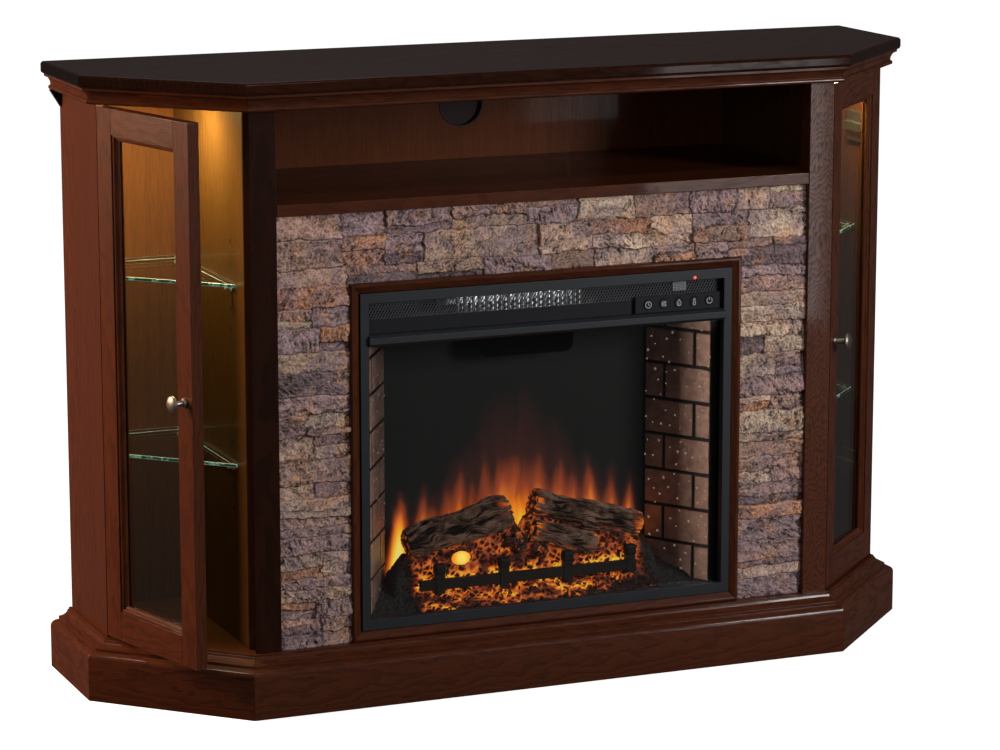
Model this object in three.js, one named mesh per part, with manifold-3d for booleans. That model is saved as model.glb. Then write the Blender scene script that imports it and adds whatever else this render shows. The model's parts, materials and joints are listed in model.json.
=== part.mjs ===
// Corner electric fireplace: a mantel cabinet with two angled glass doors round an electric firebox.
// Millimetres, X to the right, Y to the back, Z up. The origin is the plan centre of the carcass at
// floor level. A name that starts with DEPTH_ counts back from the carcass's front face.
import * as THREE from 'three';
import { mergeVertices } from 'three/addons/utils/BufferGeometryUtils.js';
import Module from 'manifold-3d';

const wasm = await Module();
wasm.setup();

// ---------------------------------------------------------------- carcass sizes
const BODY_WIDTH = 1260; // across the side panels
const BODY_DEPTH = 357;
const OVERALL_HEIGHT = 914;
const CORNER_RUN = 170; // how far each angled front corner runs along X and along Y
const BOARD = 15; // thickness of the carcass boards
const SEAT_GAP = 0.3; // between pieces that touch
const JOIN_SINK = 1; // how far a detail runs into the piece that it is part of

const TOP_THICKNESS = 18;
const TOP_OVERHANG = 28;
const TOP_EASE = 3; // softened edge of the top board

const CROWN_HEIGHT = 24; // moulding under the top board
const CROWN_FOOT = 17; // how far its lower edge stands out of the carcass
const CROWN_HEAD = 23; // how far its upper edge stands out
const CROWN_BEAD = 7; // height of the round bead at its foot
const CROWN_FILLET = 4; // flat strip at its head

const PLINTH_HEIGHT = 63;
const PLINTH_OVERHANG = 34;
const OVOLO_HEIGHT = 9; // rounded shoulder on the plinth
const STEP_HEIGHT = 5;
const STEP_WIDTH = 2;
const COVE_HEIGHT = 9;
const COVE_WIDTH = 14;
const LIP_HEIGHT = 3;
const LIP_WIDTH = 5;
const FOOT_SIZE = 90; // side of the block under the middle of the floor board

const POST_WIDTH = 40; // front posts on both sides of the middle bay
const POST_DEPTH = 30;
const MEDIA_SHELF_HEIGHT = 720; // underside of the shelf over the stone
const MEDIA_SHELF_THICKNESS = 17;
const BACK_THICKNESS = 5;
const BACK_INSET = 6; // back panel to the rear edge of the sides
const CABLE_HOLE_RADIUS = 35;
const CABLE_HOLE_RAISE = 5; // above the middle of the niche
const SERVICE_SIDE = 5; // opening in the back panel: past each side of the firebox
const SERVICE_LIFT = 31; // from the deck
const SERVICE_RISE = 38; // past the firebox's top

// ---------------------------------------------------------------- doors and cabinets
const DOOR_THICKNESS = 18;
const DOOR_HINGE_GAP = 0.8; // to the side panel
const DOOR_FREE_GAP = 2; // to the post
const DOOR_BUMPER_GAP = 1.5; // to the rebate in the post
const DOOR_FOOT_GAP = 3; // over the base moulding
const DOOR_HEAD_GAP = 4; // under the crown
const STILE_WIDTH = 46;
const TOP_RAIL = 46;
const BOTTOM_RAIL = 52;
const BEAD_WIDTH = 9; // sloped bead round the door glass
const BEAD_DEPTH = 7;
const REBATE_WIDTH = 8;
const REBATE_DEPTH = 8;
const DOOR_GLASS = 3;
const LEFT_DOOR_AJAR = 30; // degrees
const RIGHT_DOOR_AJAR = 0;
const KNOB_LIFT = 383; // from the door's lower edge
const KNOB_INSET = 20; // from the free edge
const KNOB_RADIUS = 13;
const KNOB_REACH = 27;
const KNOB_HEAD = 10; // length of its domed head
const KNOB_SKIRT = 3; // sloped underside of the head
const KNOB_NECK = 4; // radius
const KNOB_ROSETTE = 7; // radius
const KNOB_FOOT = [3, 6]; // where the rosette ends and where the neck starts

const GLASS_SHELF = 5;
const GLASS_SHELF_LIFTS = { lower: 261, upper: 523 }; // underside from the deck
const GLASS_SHELF_SETBACK = 26; // behind the closed door
const GLASS_SHELF_CLEARANCE = 1.5; // to the boards
const PIN_RADIUS = 2.5;
const PIN_REACH = 9;
const PIN_SETBACK = 22; // from a shelf's corner
const HINGE_LIFT = 140; // lower hinge from the door's lower edge
const HINGE_DROP = 96; // upper hinge from the door's upper edge
const HINGE_PLATE_SETBACK = 20; // behind the angled corner
const HINGE_PLATE_HEIGHT = 46;
const HINGE_PLATE_LENGTH = 48;
const HINGE_PLATE = 6;
const HINGE_ARM_HEIGHT = 13;
const HINGE_ARM_WIDTH = 10;
const HINGE_ARM_STANDOFF = 3; // arm to the side panel
const HINGE_ARM_GAP = 0.8; // arm to the closed door
const PUCK_RADIUS = 34;
const PUCK_HEIGHT = 13;
const PUCK_FACE = 27; // radius of its flat face
const PUCK_BEVEL = 4.5;
const DEPTH_PUCK = 165;
const PUCK_SIDE = 75; // from the divider

// ---------------------------------------------------------------- stone and firebox surround
const TRIM_WIDTH = 15;
const DEPTH_TRIM_BACK = 24;
const TRIM_BEVEL = 6; // how far its face slopes back towards the firebox
const TRIM_EDGE = 5; // flat band at the outer edge
const TRIM_EASE = 2; // softened outer edge
const TRIM_CLEARANCE = 0.4; // to the firebox
const DEPTH_STONE = 14; // front of the backing board
const STONE_BACKING = 10;
const STONE_COURSE = 24; // usual height of a stone
const STONE_LENGTH = 78; // usual length of a stone
const STONE_JOINT = 1.6;
const SPLIT_SPREAD = 0.8; // how much the stones differ in size
const STONE_RELIEF = [3.5, 10]; // least and most that a stone stands proud

// ---------------------------------------------------------------- electric firebox
const INSERT_WIDTH = 590;
const INSERT_HEIGHT = 497;
const DEPTH_FRAME = 2; // front face of the steel frame
const FRAME_THICKNESS = 12;
const FRAME_STILE = 13;
const FRAME_RAIL = 15;
const HEADER_HEIGHT = 46; // opening for the grille and the controls
const FASCIA_HEIGHT = 17; // bar between the header and the glass
const FASCIA_REACH = 5; // how far the bar stands out of the frame
const FASCIA_CHAMFER = 4;
const FIRE_GLASS = 4;
const CASE_INSET = 5; // case inside the frame's outline
const CASE_LENGTH = 187; // front to back
const SHEET = 1.5;
const CASE_FOOT = 40;
const CHANNEL_OVERLAP = 4; // air channel's floor under the header opening
const TAB_WIDTH = 150; // shield that hangs in the firebox under the air channel
const TAB_HEIGHT = 58;
const TAB_CORNER = 14;
const DEPTH_TAB = 88;
const GRILLE_THICKNESS = 2;
const GRILLE_BAND = 23; // height of the perforated band
const GRILLE_MARGIN = 5;
const GRILLE_PITCH = 16;
const GRILLE_BAR = 5;
const STRIP_WIDTH = 142; // control strip
const STRIP_HEIGHT = 25;
const STRIP_THICKNESS = 5;
const BUTTON_SIZE = 15;
const BUTTON_PITCH = 25;
const BUTTON_PROUD = 1.2;
const BUTTON_TRAVEL = 1;
const BUTTON_SPARE = 0.7; // behind a pressed button
const BUTTON_CLEARANCE = 0.3;
const BUTTON_NAMES = ['timer', 'heat', 'flame', 'temperature', 'power'];

const DEPTH_BRICK_FRONT = 32;
const DEPTH_SCREEN = 131;
const BRICK_INSET = 13.5; // front of a splayed side wall to the case
const BRICK_RUN = 63; // how far the wall leans in towards the back
const BRICK_COURSE = 55;
const BRICK_JOINT = 5;
const BRICK_BACKING = 4;
const BRICK_RELIEF = 3;
const BRICK_SPLITS = [0.29, 0.76]; // where the upright joints fall, by turns
const SCREEN_THICKNESS = 2.5;

const BED_FRONT_HEIGHT = 5; // ember bed over the firebox floor at the glass
const BED_BACK_HEIGHT = 52;
const BED_ROUGHNESS = 5;
const BED_COLUMNS = 26;
const BED_ROWS = 8;
const BED_CLEARANCE = 1.5;
// Ends of each log: across, forwards of the flame screen, and over the firebox floor.
const LOGS = {
  left: { from: [-192, 37, 92], to: [-28, 39, 129], radius: 24, seed: 5 },
  right: { from: [12, 35, 137], to: [188, 33, 85], radius: 21, seed: 11 },
  low: { from: [2, 55, 101], to: [106, 51, 67], radius: 17, seed: 23 },
};
const LOG_SIDES = 10;
const LOG_RINGS = 8;
const LOG_ROUGHNESS = 0.1; // share of the radius
const LOG_SINK = 0.6; // how deep a log lies in its heap of embers, as a share of its radius
const GRATE_FROM = -182;
const GRATE_LENGTH = 349;
const GRATE_BAR = 15; // height of the bar
const GRATE_BAR_LIFT = 35; // its middle over the firebox floor
const DEPTH_GRATE = 62;
const GRATE_THICKNESS = 9;
const GRATE_POSTS = 4;
const GRATE_LEFT_END = 31; // bar's left end to the first post
const GRATE_RIGHT_END = 9; // last post to the bar's right end
const GRATE_POST_RISE = 30; // post's top over the bar's middle
const GRATE_POST_WIDTH = 14;
const GRATE_POST_PROUD = 1; // past the bar's front and back

const SHAFT_RADIUS = 3;
const BEARING_GAP = 0.25;
const BEARING_SIZE = 20;
const BEARING_THICKNESS = 5;
const BEARING_SIDE_GAP = 5.5; // bearing to the wheel
const DEPTH_SPINDLES = 168;
const BLOWER_RADIUS = 21;
const BLOWER_LENGTH = 210;
const BLOWER_BLADES = 14;
const BLOWER_BLADE = 1.2;
const BLOWER_BLADE_WIDTH = 6;
const BLOWER_DISC = 3;
const BLOWER_RIM = 1; // disc's edge past the blades
const ROTOR_LENGTH = 440;
const ROTOR_LIFT = 54; // over the firebox floor
const ROTOR_FOILS = 9;
const ROTOR_FOIL = [30, 20, 0.8]; // along the spindle, across it and thick
const ROTOR_TURN = 36; // degrees from one foil to the next
const ROTOR_FOIL_GAP = 5; // last foil to the bearing
const HEATER_WIDTH = 200;
const HEATER_THICKNESS = 10;
const HEATER_FINS = 18;
const HEATER_FIN = 2;
const HEATER_RAIL = 4;
const DEPTH_HEATER = 112;
const GLAND_RADIUS = 9;
const GLAND_NOSE = 6; // radius
const GLAND_BORE = 3; // radius
const GLAND_FLANGE = 4;
const GLAND_REACH = 14;
const GLAND_INSET = 50; // from the right side of the case
const GLAND_LIFT = 30; // over the floor of the case

const ROUND_SIDES = 16; // facets of shafts and holes
const PIN_SIDES = 8;
const KNOB_SIDES = 20;
const WIDE_SIDES = 24; // facets of the cable hole
const REACH_PAST = 5; // how far a cutter runs past what it cuts

// ---------------------------------------------------------------- worked-out levels
const FRONT = -BODY_DEPTH / 2;
const BACK = BODY_DEPTH / 2;
const HALF = BODY_WIDTH / 2;
const POST_OUTER = HALF - CORNER_RUN;
const POST_INNER = POST_OUTER - POST_WIDTH;
const DECK = PLINTH_HEIGHT + OVOLO_HEIGHT + STEP_HEIGHT + COVE_HEIGHT + LIP_HEIGHT;
const TOP_UNDERSIDE = OVERALL_HEIGHT - TOP_THICKNESS;
const CROWN_UNDERSIDE = TOP_UNDERSIDE - CROWN_HEIGHT;
const BACK_PANEL_FRONT = BACK - BACK_INSET - BACK_THICKNESS;
const INSERT_BOTTOM = DECK + SEAT_GAP + TRIM_WIDTH + TRIM_CLEARANCE;
const INSERT_TOP = INSERT_BOTTOM + INSERT_HEIGHT;
const TRIM_HALF = INSERT_WIDTH / 2 + TRIM_CLEARANCE + TRIM_WIDTH;
const TRIM_BOTTOM = DECK + SEAT_GAP;
const TRIM_TOP = INSERT_TOP + TRIM_CLEARANCE + TRIM_WIDTH;
const HEADER_TOP = INSERT_TOP - FRAME_RAIL;
const HEADER_BOTTOM = HEADER_TOP - HEADER_HEIGHT;
const GLASS_TOP = HEADER_BOTTOM - FASCIA_HEIGHT;
const GLASS_BOTTOM = INSERT_BOTTOM + FRAME_RAIL;
const FRAME_BACK = FRONT + DEPTH_FRAME + FRAME_THICKNESS;
const CASE_FRONT = FRAME_BACK + FIRE_GLASS + 2 * SEAT_GAP;
const CASE_BACK = CASE_FRONT + CASE_LENGTH;
const CASE_HALF = INSERT_WIDTH / 2 - CASE_INSET;
const CASE_BOTTOM = INSERT_BOTTOM + CASE_INSET;
const CASE_TOP = INSERT_TOP - CASE_INSET;
const CHAMBER_FLOOR = CASE_BOTTOM + SHEET;
const CHANNEL_FLOOR = HEADER_BOTTOM - CHANNEL_OVERLAP;
const CHANNEL_CEILING = CASE_TOP - SHEET;
const CHAMBER_CEILING = CHANNEL_FLOOR - SHEET;
const BRICK_FRONT_HALF = CASE_HALF - BRICK_INSET;
const NICHE_BOTTOM = MEDIA_SHELF_HEIGHT + MEDIA_SHELF_THICKNESS;
const CABLE_HOLE_HEIGHT = (NICHE_BOTTOM + TOP_UNDERSIDE) / 2 + CABLE_HOLE_RAISE;
const DOOR_BOTTOM = DECK + DOOR_FOOT_GAP;
const DOOR_TOP = CROWN_UNDERSIDE - DOOR_HEAD_GAP;
const HINGE_HEIGHTS = { lower: DOOR_BOTTOM + HINGE_LIFT, upper: DOOR_TOP - HINGE_DROP };
const INWARD = Math.SQRT1_2; // each angled corner stands at 45 degrees

// ---------------------------------------------------------------- finishes
const finish = (color, roughness, metalness = 0, opacity = 1) =>
  new THREE.MeshStandardMaterial({ color, roughness, metalness, opacity, transparent: opacity < 1 });
const FINISHES = {
  wood: finish(0x4a2018, 0.4),
  dark_wood: finish(0x2a120c, 0.5),
  stone: finish(0x8a7468, 0.9),
  clear_glass: finish(0xdcebe4, 0.05, 0, 0.3),
  dark_glass: finish(0x22221f, 0.08, 0, 0.35),
  black_steel: finish(0x23262b, 0.45, 0.6),
  grille: finish(0x18191c, 0.5, 0.5),
  black_plastic: finish(0x0d0d10, 0.25),
  nickel: finish(0xb5a999, 0.3, 1),
  bronze: finish(0x6b4a3d, 0.4, 0.5),
  screen: finish(0x222220, 0.3),
  ember: finish(0x6a2a10, 0.9),
  bark: finish(0x3a2a22, 0.95),
  iron: finish(0x151414, 0.6, 0.4),
  heater: finish(0xb8b8ba, 0.35, 0.9),
  foil: finish(0xc9c9cc, 0.2, 0.95),
  lamp: finish(0xf2d79a, 0.4),
};

// ---------------------------------------------------------------- shape helpers
function geometryOf(positions, triangles) {
  const geometry = new THREE.BufferGeometry();
  geometry.setAttribute('position', new THREE.Float32BufferAttribute(positions, 3));
  geometry.setIndex(triangles);
  return geometry;
}

function signedVolume(geometry) {
  const [a, b, c] = [new THREE.Vector3(), new THREE.Vector3(), new THREE.Vector3()];
  const { position } = geometry.attributes;
  let six = 0;
  for (let i = 0; i < geometry.index.count; i += 3) {
    a.fromBufferAttribute(position, geometry.index.getX(i));
    b.fromBufferAttribute(position, geometry.index.getX(i + 1));
    c.fromBufferAttribute(position, geometry.index.getX(i + 2));
    six += a.dot(b.cross(c));
  }
  return six;
}

// One closed body with shared corners and its faces pointing out.
function closed(geometry) {
  const bare = geometry.clone();
  bare.deleteAttribute('normal');
  bare.deleteAttribute('uv');
  const welded = mergeVertices(bare, 1e-4);
  if (signedVolume(welded) < 0) {
    const { index } = welded;
    for (let i = 0; i < index.count; i += 3) {
      const first = index.getX(i);
      index.setX(i, index.getX(i + 1));
      index.setX(i + 1, first);
    }
  }
  return welded;
}

// A skin through rings of points that all follow one flat profile, closed by it at both ends.
function loft(profile, rings) {
  const flat = profile.map(([u, v]) => new THREE.Vector2(u, v));
  const caps = THREE.ShapeUtils.triangulateShape(flat, []);
  const turns = THREE.ShapeUtils.isClockWise(flat);
  const count = profile.length;
  const last = (rings.length - 1) * count;
  const triangles = [];
  const add = (a, b, c) => triangles.push(...(turns ? [a, c, b] : [a, b, c]));
  for (let r = 0; r < rings.length - 1; r += 1) {
    for (let i = 0; i < count; i += 1) {
      const [a, b] = [r * count + i, r * count + ((i + 1) % count)];
      add(a, b, b + count);
      add(a, b + count, a + count);
    }
  }
  for (const face of caps) {
    const sameWay = THREE.ShapeUtils.isClockWise(face.map((i) => flat[i])) === turns;
    const [a, b, c] = sameWay ? face : face.toReversed();
    add(a, c, b);
    add(last + a, last + b, last + c);
  }
  return closed(geometryOf(rings.flat(2), triangles));
}

function block(x0, x1, y0, y1, z0, z1) {
  const box = new THREE.BoxGeometry(x1 - x0, y1 - y0, z1 - z0);
  return closed(box.translate((x0 + x1) / 2, (y0 + y1) / 2, (z0 + z1) / 2));
}

const prism = (plan, z0, z1) => loft(plan, [z0, z1].map((z) => plan.map(([x, y]) => [x, y, z])));

// A profile drawn as [y, z] and run along X.
const rail = (profile, x0, x1) => loft(profile, [x0, x1].map((x) => profile.map(([y, z]) => [x, y, z])));

function rod(axis, radius, from, to, centre, sides = ROUND_SIDES) {
  const geometry = new THREE.CylinderGeometry(radius, radius, to - from, sides);
  geometry.translate(0, (from + to) / 2, 0);
  if (axis === 'x') geometry.rotateZ(-Math.PI / 2);
  if (axis === 'z') geometry.rotateX(Math.PI / 2);
  return closed(geometry.translate(...centre));
}

const mirrored = (geometry) => closed(geometry.clone().scale(-1, 1, 1));

function solid(geometry) {
  const { position } = geometry.attributes;
  const vertProperties = new Float32Array(position.array);
  const triVerts = new Uint32Array(geometry.index.array);
  return new wasm.Manifold(new wasm.Mesh({ numProp: 3, vertProperties, triVerts }));
}

function cut(geometry, { less = [], plus = [] }) {
  let result = solid(geometry);
  for (const piece of plus) result = result.add(solid(piece));
  for (const piece of less) result = result.subtract(solid(piece));
  const { vertProperties, triVerts } = result.getMesh();
  return geometryOf(Array.from(vertProperties), Array.from(triVerts));
}

// Points on a quarter of an ellipse, from one angle to another in degrees.
function quarter(centreU, centreV, radiusU, radiusV, from, to, steps = 4) {
  return Array.from({ length: steps + 1 }, (_, i) => {
    const angle = THREE.MathUtils.degToRad(from + ((to - from) * i) / steps);
    return [centreU + radiusU * Math.cos(angle), centreV + radiusV * Math.sin(angle)];
  });
}

// The same run of numbers between 0 and 1 for the same seed.
function numbersFrom(seed) {
  let state = seed;
  return () => {
    state = (state * 16807) % 2147483647;
    return state / 2147483647;
  };
}

// ---------------------------------------------------------------- the carcass outline in plan
const OUTLINE = [
  [-HALF, BACK],
  [-HALF, FRONT + CORNER_RUN],
  [-POST_OUTER, FRONT],
  [POST_OUTER, FRONT],
  [HALF, FRONT + CORNER_RUN],
  [HALF, BACK],
].map(([x, y]) => new THREE.Vector2(x, y));
const LAST_CORNER = OUTLINE.length - 1;

const along = (edge) => OUTLINE[edge + 1].clone().sub(OUTLINE[edge]).normalize();

function outward(edge) {
  const direction = along(edge);
  return new THREE.Vector2(direction.y, -direction.x);
}

// The outline's corner after every side has moved out by the offset, so mouldings mitre there.
function corner(index, offset) {
  if (index === 0) return OUTLINE[0].clone().addScaledVector(outward(0), offset);
  if (index === LAST_CORNER) return OUTLINE[index].clone().addScaledVector(outward(index - 1), offset);
  const [one, two] = [outward(index - 1), outward(index)];
  return OUTLINE[index].clone().addScaledVector(one.clone().add(two), offset / (1 + one.dot(two)));
}

// A board in the outline's shape, from levels of [offset, z].
function outlineBoard(levels) {
  const rings = levels.map(([offset, z]) => OUTLINE.map((_, i) => [...corner(i, offset).toArray(), z]));
  return loft(rings[0].map(([x, y]) => [x, y]), rings);
}

// A moulding of profile [offset, z] that runs from one corner of the outline to another.
function mouldingRun(profile, first, last) {
  const rings = [];
  for (let i = first; i <= last; i += 1) {
    const slide = new THREE.Vector2();
    if (i === first && i > 0) slide.addScaledVector(along(i), SEAT_GAP / 2);
    if (i === last && i < LAST_CORNER) slide.addScaledVector(along(i - 1), -SEAT_GAP / 2);
    rings.push(profile.map(([offset, z]) => [...corner(i, offset).add(slide).toArray(), z]));
  }
  return loft(profile, rings);
}

// ---------------------------------------------------------------- the assembly
const fireplace = new THREE.Group();

function place(name, finishName, geometry, parent = fireplace) {
  const mesh = new THREE.Mesh(geometry, FINISHES[finishName]);
  mesh.name = name;
  parent.add(mesh);
  return mesh;
}

// Makes the left-hand piece and its mirror image on the right.
function placePair(name, finishName, geometry) {
  place(name('left'), finishName, geometry);
  place(name('right'), finishName, mirrored(geometry));
}

// ---------------------------------------------------------------- top board, crown and base
function topBoard() {
  return outlineBoard([
    [TOP_OVERHANG - TOP_EASE, TOP_UNDERSIDE],
    [TOP_OVERHANG, TOP_UNDERSIDE + TOP_EASE],
    [TOP_OVERHANG, OVERALL_HEIGHT - TOP_EASE],
    [TOP_OVERHANG - TOP_EASE, OVERALL_HEIGHT],
  ]);
}

function crownProfile() {
  const coveFoot = CROWN_UNDERSIDE + CROWN_BEAD;
  const coveHead = TOP_UNDERSIDE - CROWN_FILLET;
  const beadRadius = CROWN_BEAD / 2;
  const coveWidth = CROWN_HEAD - CROWN_FOOT + beadRadius;
  return [
    [-BOARD, TOP_UNDERSIDE],
    [-BOARD, CROWN_UNDERSIDE],
    ...quarter(CROWN_FOOT - beadRadius, CROWN_UNDERSIDE + beadRadius, beadRadius, beadRadius, -90, 90, 6),
    ...quarter(CROWN_HEAD, coveFoot, coveWidth, coveHead - coveFoot, 180, 90).slice(1),
    [CROWN_HEAD, TOP_UNDERSIDE],
  ];
}

function baseProfile() {
  const stepTop = PLINTH_HEIGHT + OVOLO_HEIGHT + STEP_HEIGHT;
  const coveTop = stepTop + COVE_HEIGHT;
  const lipOut = LIP_WIDTH + STEP_WIDTH;
  const coveOut = lipOut + COVE_WIDTH;
  const ovoloIn = coveOut + STEP_WIDTH;
  return [
    [-BOARD, 0],
    [PLINTH_OVERHANG, 0],
    ...quarter(ovoloIn, PLINTH_HEIGHT, PLINTH_OVERHANG - ovoloIn, OVOLO_HEIGHT, 0, 90),
    [coveOut, PLINTH_HEIGHT + OVOLO_HEIGHT],
    ...quarter(coveOut, coveTop, COVE_WIDTH, COVE_HEIGHT, 270, 180),
    [LIP_WIDTH, coveTop],
    [LIP_WIDTH, DECK],
    [SEAT_GAP, DECK],
    [SEAT_GAP, DECK - BOARD - SEAT_GAP],
    [-BOARD, DECK - BOARD - SEAT_GAP],
  ];
}

function floorBoard() {
  const half = FOOT_SIZE / 2;
  const board = outlineBoard([[0, DECK - BOARD], [0, DECK]]);
  return cut(board, { plus: [block(-half, half, -half, half, 0, DECK - BOARD + JOIN_SINK)] });
}

// Each moulding runs from its first to its last corner of the outline.
const runs = { left: [0, 2], front: [2, 3], right: [3, LAST_CORNER] };
place('top_board', 'wood', topBoard());
place('floor_board', 'wood', floorBoard());
for (const [side, [first, last]] of Object.entries(runs)) {
  place(`crown_${side}`, 'wood', mouldingRun(crownProfile(), first, last));
  place(`base_${side}`, 'wood', mouldingRun(baseProfile(), first, last));
}

// ---------------------------------------------------------------- posts, sides, dividers and shelf
// Distances from the outline's angled face, turned into steps along Y at a fixed X.
const acrossCorner = (distance) => distance * Math.SQRT2;

// A point behind the left angled face: so far from its post end, and so far inside it.
const behindFace = (fromPost, inside) => [
  -POST_OUTER - fromPost * INWARD + inside * INWARD,
  FRONT + fromPost * INWARD + inside * INWARD,
];

function leftPost() {
  const rebate = DOOR_THICKNESS + DOOR_BUMPER_GAP;
  const rebateDepth = FRONT + acrossCorner(rebate);
  const plan = [
    [-POST_OUTER, FRONT],
    [-POST_INNER, FRONT],
    [-POST_INNER, Math.max(FRONT + POST_DEPTH, rebateDepth)],
    [-POST_OUTER, Math.max(FRONT + POST_DEPTH, rebateDepth)],
    [-POST_OUTER, rebateDepth],
    behindFace(0, rebate),
  ];
  return prism(plan, DECK, CROWN_UNDERSIDE);
}
const POST_BACK = Math.max(FRONT + POST_DEPTH, FRONT + acrossCorner(DOOR_THICKNESS + DOOR_BUMPER_GAP));

// The plan corners of a glass shelf in the left cabinet.
function glassShelfPlan() {
  const inset = acrossCorner(DOOR_THICKNESS + GLASS_SHELF_SETBACK);
  const outerX = -HALF + BOARD + GLASS_SHELF_CLEARANCE;
  const innerX = -POST_OUTER - GLASS_SHELF_CLEARANCE;
  const backY = BACK_PANEL_FRONT - GLASS_SHELF_CLEARANCE;
  return {
    frontInner: [innerX, FRONT + inset - (innerX + POST_OUTER)],
    backInner: [innerX, backY],
    backOuter: [outerX, backY],
    frontOuter: [outerX, FRONT + inset - (outerX + POST_OUTER)],
  };
}

// Shelf pins on a board's face at x, reaching the given way, for both glass shelves.
function shelfPins(faceX, way, frontY) {
  const backY = BACK_PANEL_FRONT - PIN_SETBACK;
  return Object.values(GLASS_SHELF_LIFTS).flatMap((lift) =>
    [frontY + PIN_SETBACK, backY].map((y) => {
      const centre = [0, y, DECK + lift - SEAT_GAP - PIN_RADIUS];
      const ends = [faceX - way * JOIN_SINK, faceX + way * PIN_REACH].sort((a, b) => a - b);
      return rod('x', PIN_RADIUS, ...ends, centre, PIN_SIDES);
    }),
  );
}

function leftSidePanel() {
  const innerX = -HALF + BOARD;
  const plan = [
    [-HALF, BACK],
    [-HALF, FRONT + CORNER_RUN],
    [innerX, FRONT + CORNER_RUN + BOARD],
    [innerX, BACK],
  ];
  const pins = shelfPins(innerX, 1, glassShelfPlan().frontOuter[1]);
  return cut(prism(plan, DECK, CROWN_UNDERSIDE), { plus: pins });
}

function leftDivider() {
  const board = block(-POST_OUTER, -POST_OUTER + BOARD, POST_BACK, BACK_PANEL_FRONT, DECK, TOP_UNDERSIDE);
  return cut(board, { plus: shelfPins(-POST_OUTER, -1, glassShelfPlan().frontInner[1]) });
}

function mediaShelf() {
  const between = POST_INNER - SEAT_GAP;
  const behind = POST_OUTER - BOARD - SEAT_GAP;
  const step = POST_BACK + SEAT_GAP;
  const plan = [
    [-between, FRONT],
    [between, FRONT],
    [between, step],
    [behind, step],
    [behind, BACK_PANEL_FRONT],
    [-behind, BACK_PANEL_FRONT],
    [-behind, step],
    [-between, step],
  ];
  return prism(plan, MEDIA_SHELF_HEIGHT, NICHE_BOTTOM);
}

function backPanel() {
  const half = HALF - BOARD - SEAT_GAP;
  const service = INSERT_WIDTH / 2 + SERVICE_SIDE;
  const [near, far] = [BACK_PANEL_FRONT - REACH_PAST, BACK + REACH_PAST];
  const panel = block(-half, half, BACK_PANEL_FRONT, BACK_PANEL_FRONT + BACK_THICKNESS, DECK, TOP_UNDERSIDE);
  return cut(panel, {
    less: [
      rod('y', CABLE_HOLE_RADIUS, near, far, [0, 0, CABLE_HOLE_HEIGHT], WIDE_SIDES),
      block(-service, service, near, far, DECK + SERVICE_LIFT, INSERT_TOP + SERVICE_RISE),
    ],
  });
}

placePair((side) => `${side}_post`, 'wood', leftPost());
placePair((side) => `${side}_side_panel`, 'wood', leftSidePanel());
placePair((side) => `${side}_divider`, 'wood', leftDivider());
place('media_shelf', 'wood', mediaShelf());
place('back_panel', 'dark_wood', backPanel());

// ---------------------------------------------------------------- cabinet fittings
function glassShelf(lift) {
  const { frontInner, backInner, backOuter, frontOuter } = glassShelfPlan();
  return prism([frontInner, backInner, backOuter, frontOuter], DECK + lift, DECK + lift + GLASS_SHELF);
}

function puckLight() {
  const profile = [
    [0, 0],
    [PUCK_FACE, 0],
    [PUCK_RADIUS, PUCK_BEVEL],
    [PUCK_RADIUS, PUCK_HEIGHT],
    [0, PUCK_HEIGHT],
  ].map(([r, z]) => new THREE.Vector2(r, z));
  const lathe = new THREE.LatheGeometry(profile, KNOB_SIDES).rotateX(Math.PI / 2);
  const foot = TOP_UNDERSIDE - SEAT_GAP - PUCK_HEIGHT;
  return closed(lathe.translate(-POST_OUTER - PUCK_SIDE, FRONT + DEPTH_PUCK, foot));
}

// A plate on the side panel and a cranked arm that reaches to the back of the closed door.
function doorHinge(height) {
  const face = -HALF + BOARD + SEAT_GAP;
  const plateFront = FRONT + CORNER_RUN + HINGE_PLATE_SETBACK;
  const plateBack = plateFront + HINGE_PLATE_LENGTH;
  const [top, bottom] = [height + HINGE_PLATE_HEIGHT / 2, height - HINGE_PLATE_HEIGHT / 2];
  const halfArm = HINGE_ARM_HEIGHT / 2;
  const nose = acrossCorner(DOOR_THICKNESS + HINGE_ARM_GAP) - POST_OUTER;
  const armIn = face + HINGE_ARM_STANDOFF;
  const armOut = armIn + HINGE_ARM_WIDTH;
  const plate = block(face, face + HINGE_PLATE, plateFront, plateBack, bottom, top);
  const arm = prism(
    [
      [armIn, plateBack],
      [armIn, FRONT + nose - armIn],
      [armOut, FRONT + nose - armOut],
      [armOut, plateBack],
    ],
    height - halfArm,
    height + halfArm,
  );
  return cut(plate, { plus: [arm] });
}

for (const [level, lift] of Object.entries(GLASS_SHELF_LIFTS)) {
  placePair((side) => `${side}_glass_shelf_${level}`, 'clear_glass', glassShelf(lift));
}
for (const [level, height] of Object.entries(HINGE_HEIGHTS)) {
  placePair((side) => `${side}_hinge_${level}`, 'nickel', doorHinge(height));
}
placePair((side) => `${side}_puck_light`, 'lamp', puckLight());

// ---------------------------------------------------------------- doors
// A door lies along +X from its hinge corner, with its face on the X axis and its back towards +Y.
const DOOR_WIDTH = acrossCorner(CORNER_RUN) - DOOR_HINGE_GAP - DOOR_FREE_GAP;

function doorOpening(grow, y0, y1, growAtEnd = grow) {
  const ring = (by, y) => [
    [STILE_WIDTH - by, y, DOOR_BOTTOM + BOTTOM_RAIL - by],
    [DOOR_WIDTH - STILE_WIDTH + by, y, DOOR_BOTTOM + BOTTOM_RAIL - by],
    [DOOR_WIDTH - STILE_WIDTH + by, y, DOOR_TOP - TOP_RAIL + by],
    [STILE_WIDTH - by, y, DOOR_TOP - TOP_RAIL + by],
  ];
  const rings = [ring(grow, y0), ring(growAtEnd, y1)];
  return loft(rings[0].map(([x, , z]) => [x, z]), rings);
}

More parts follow.
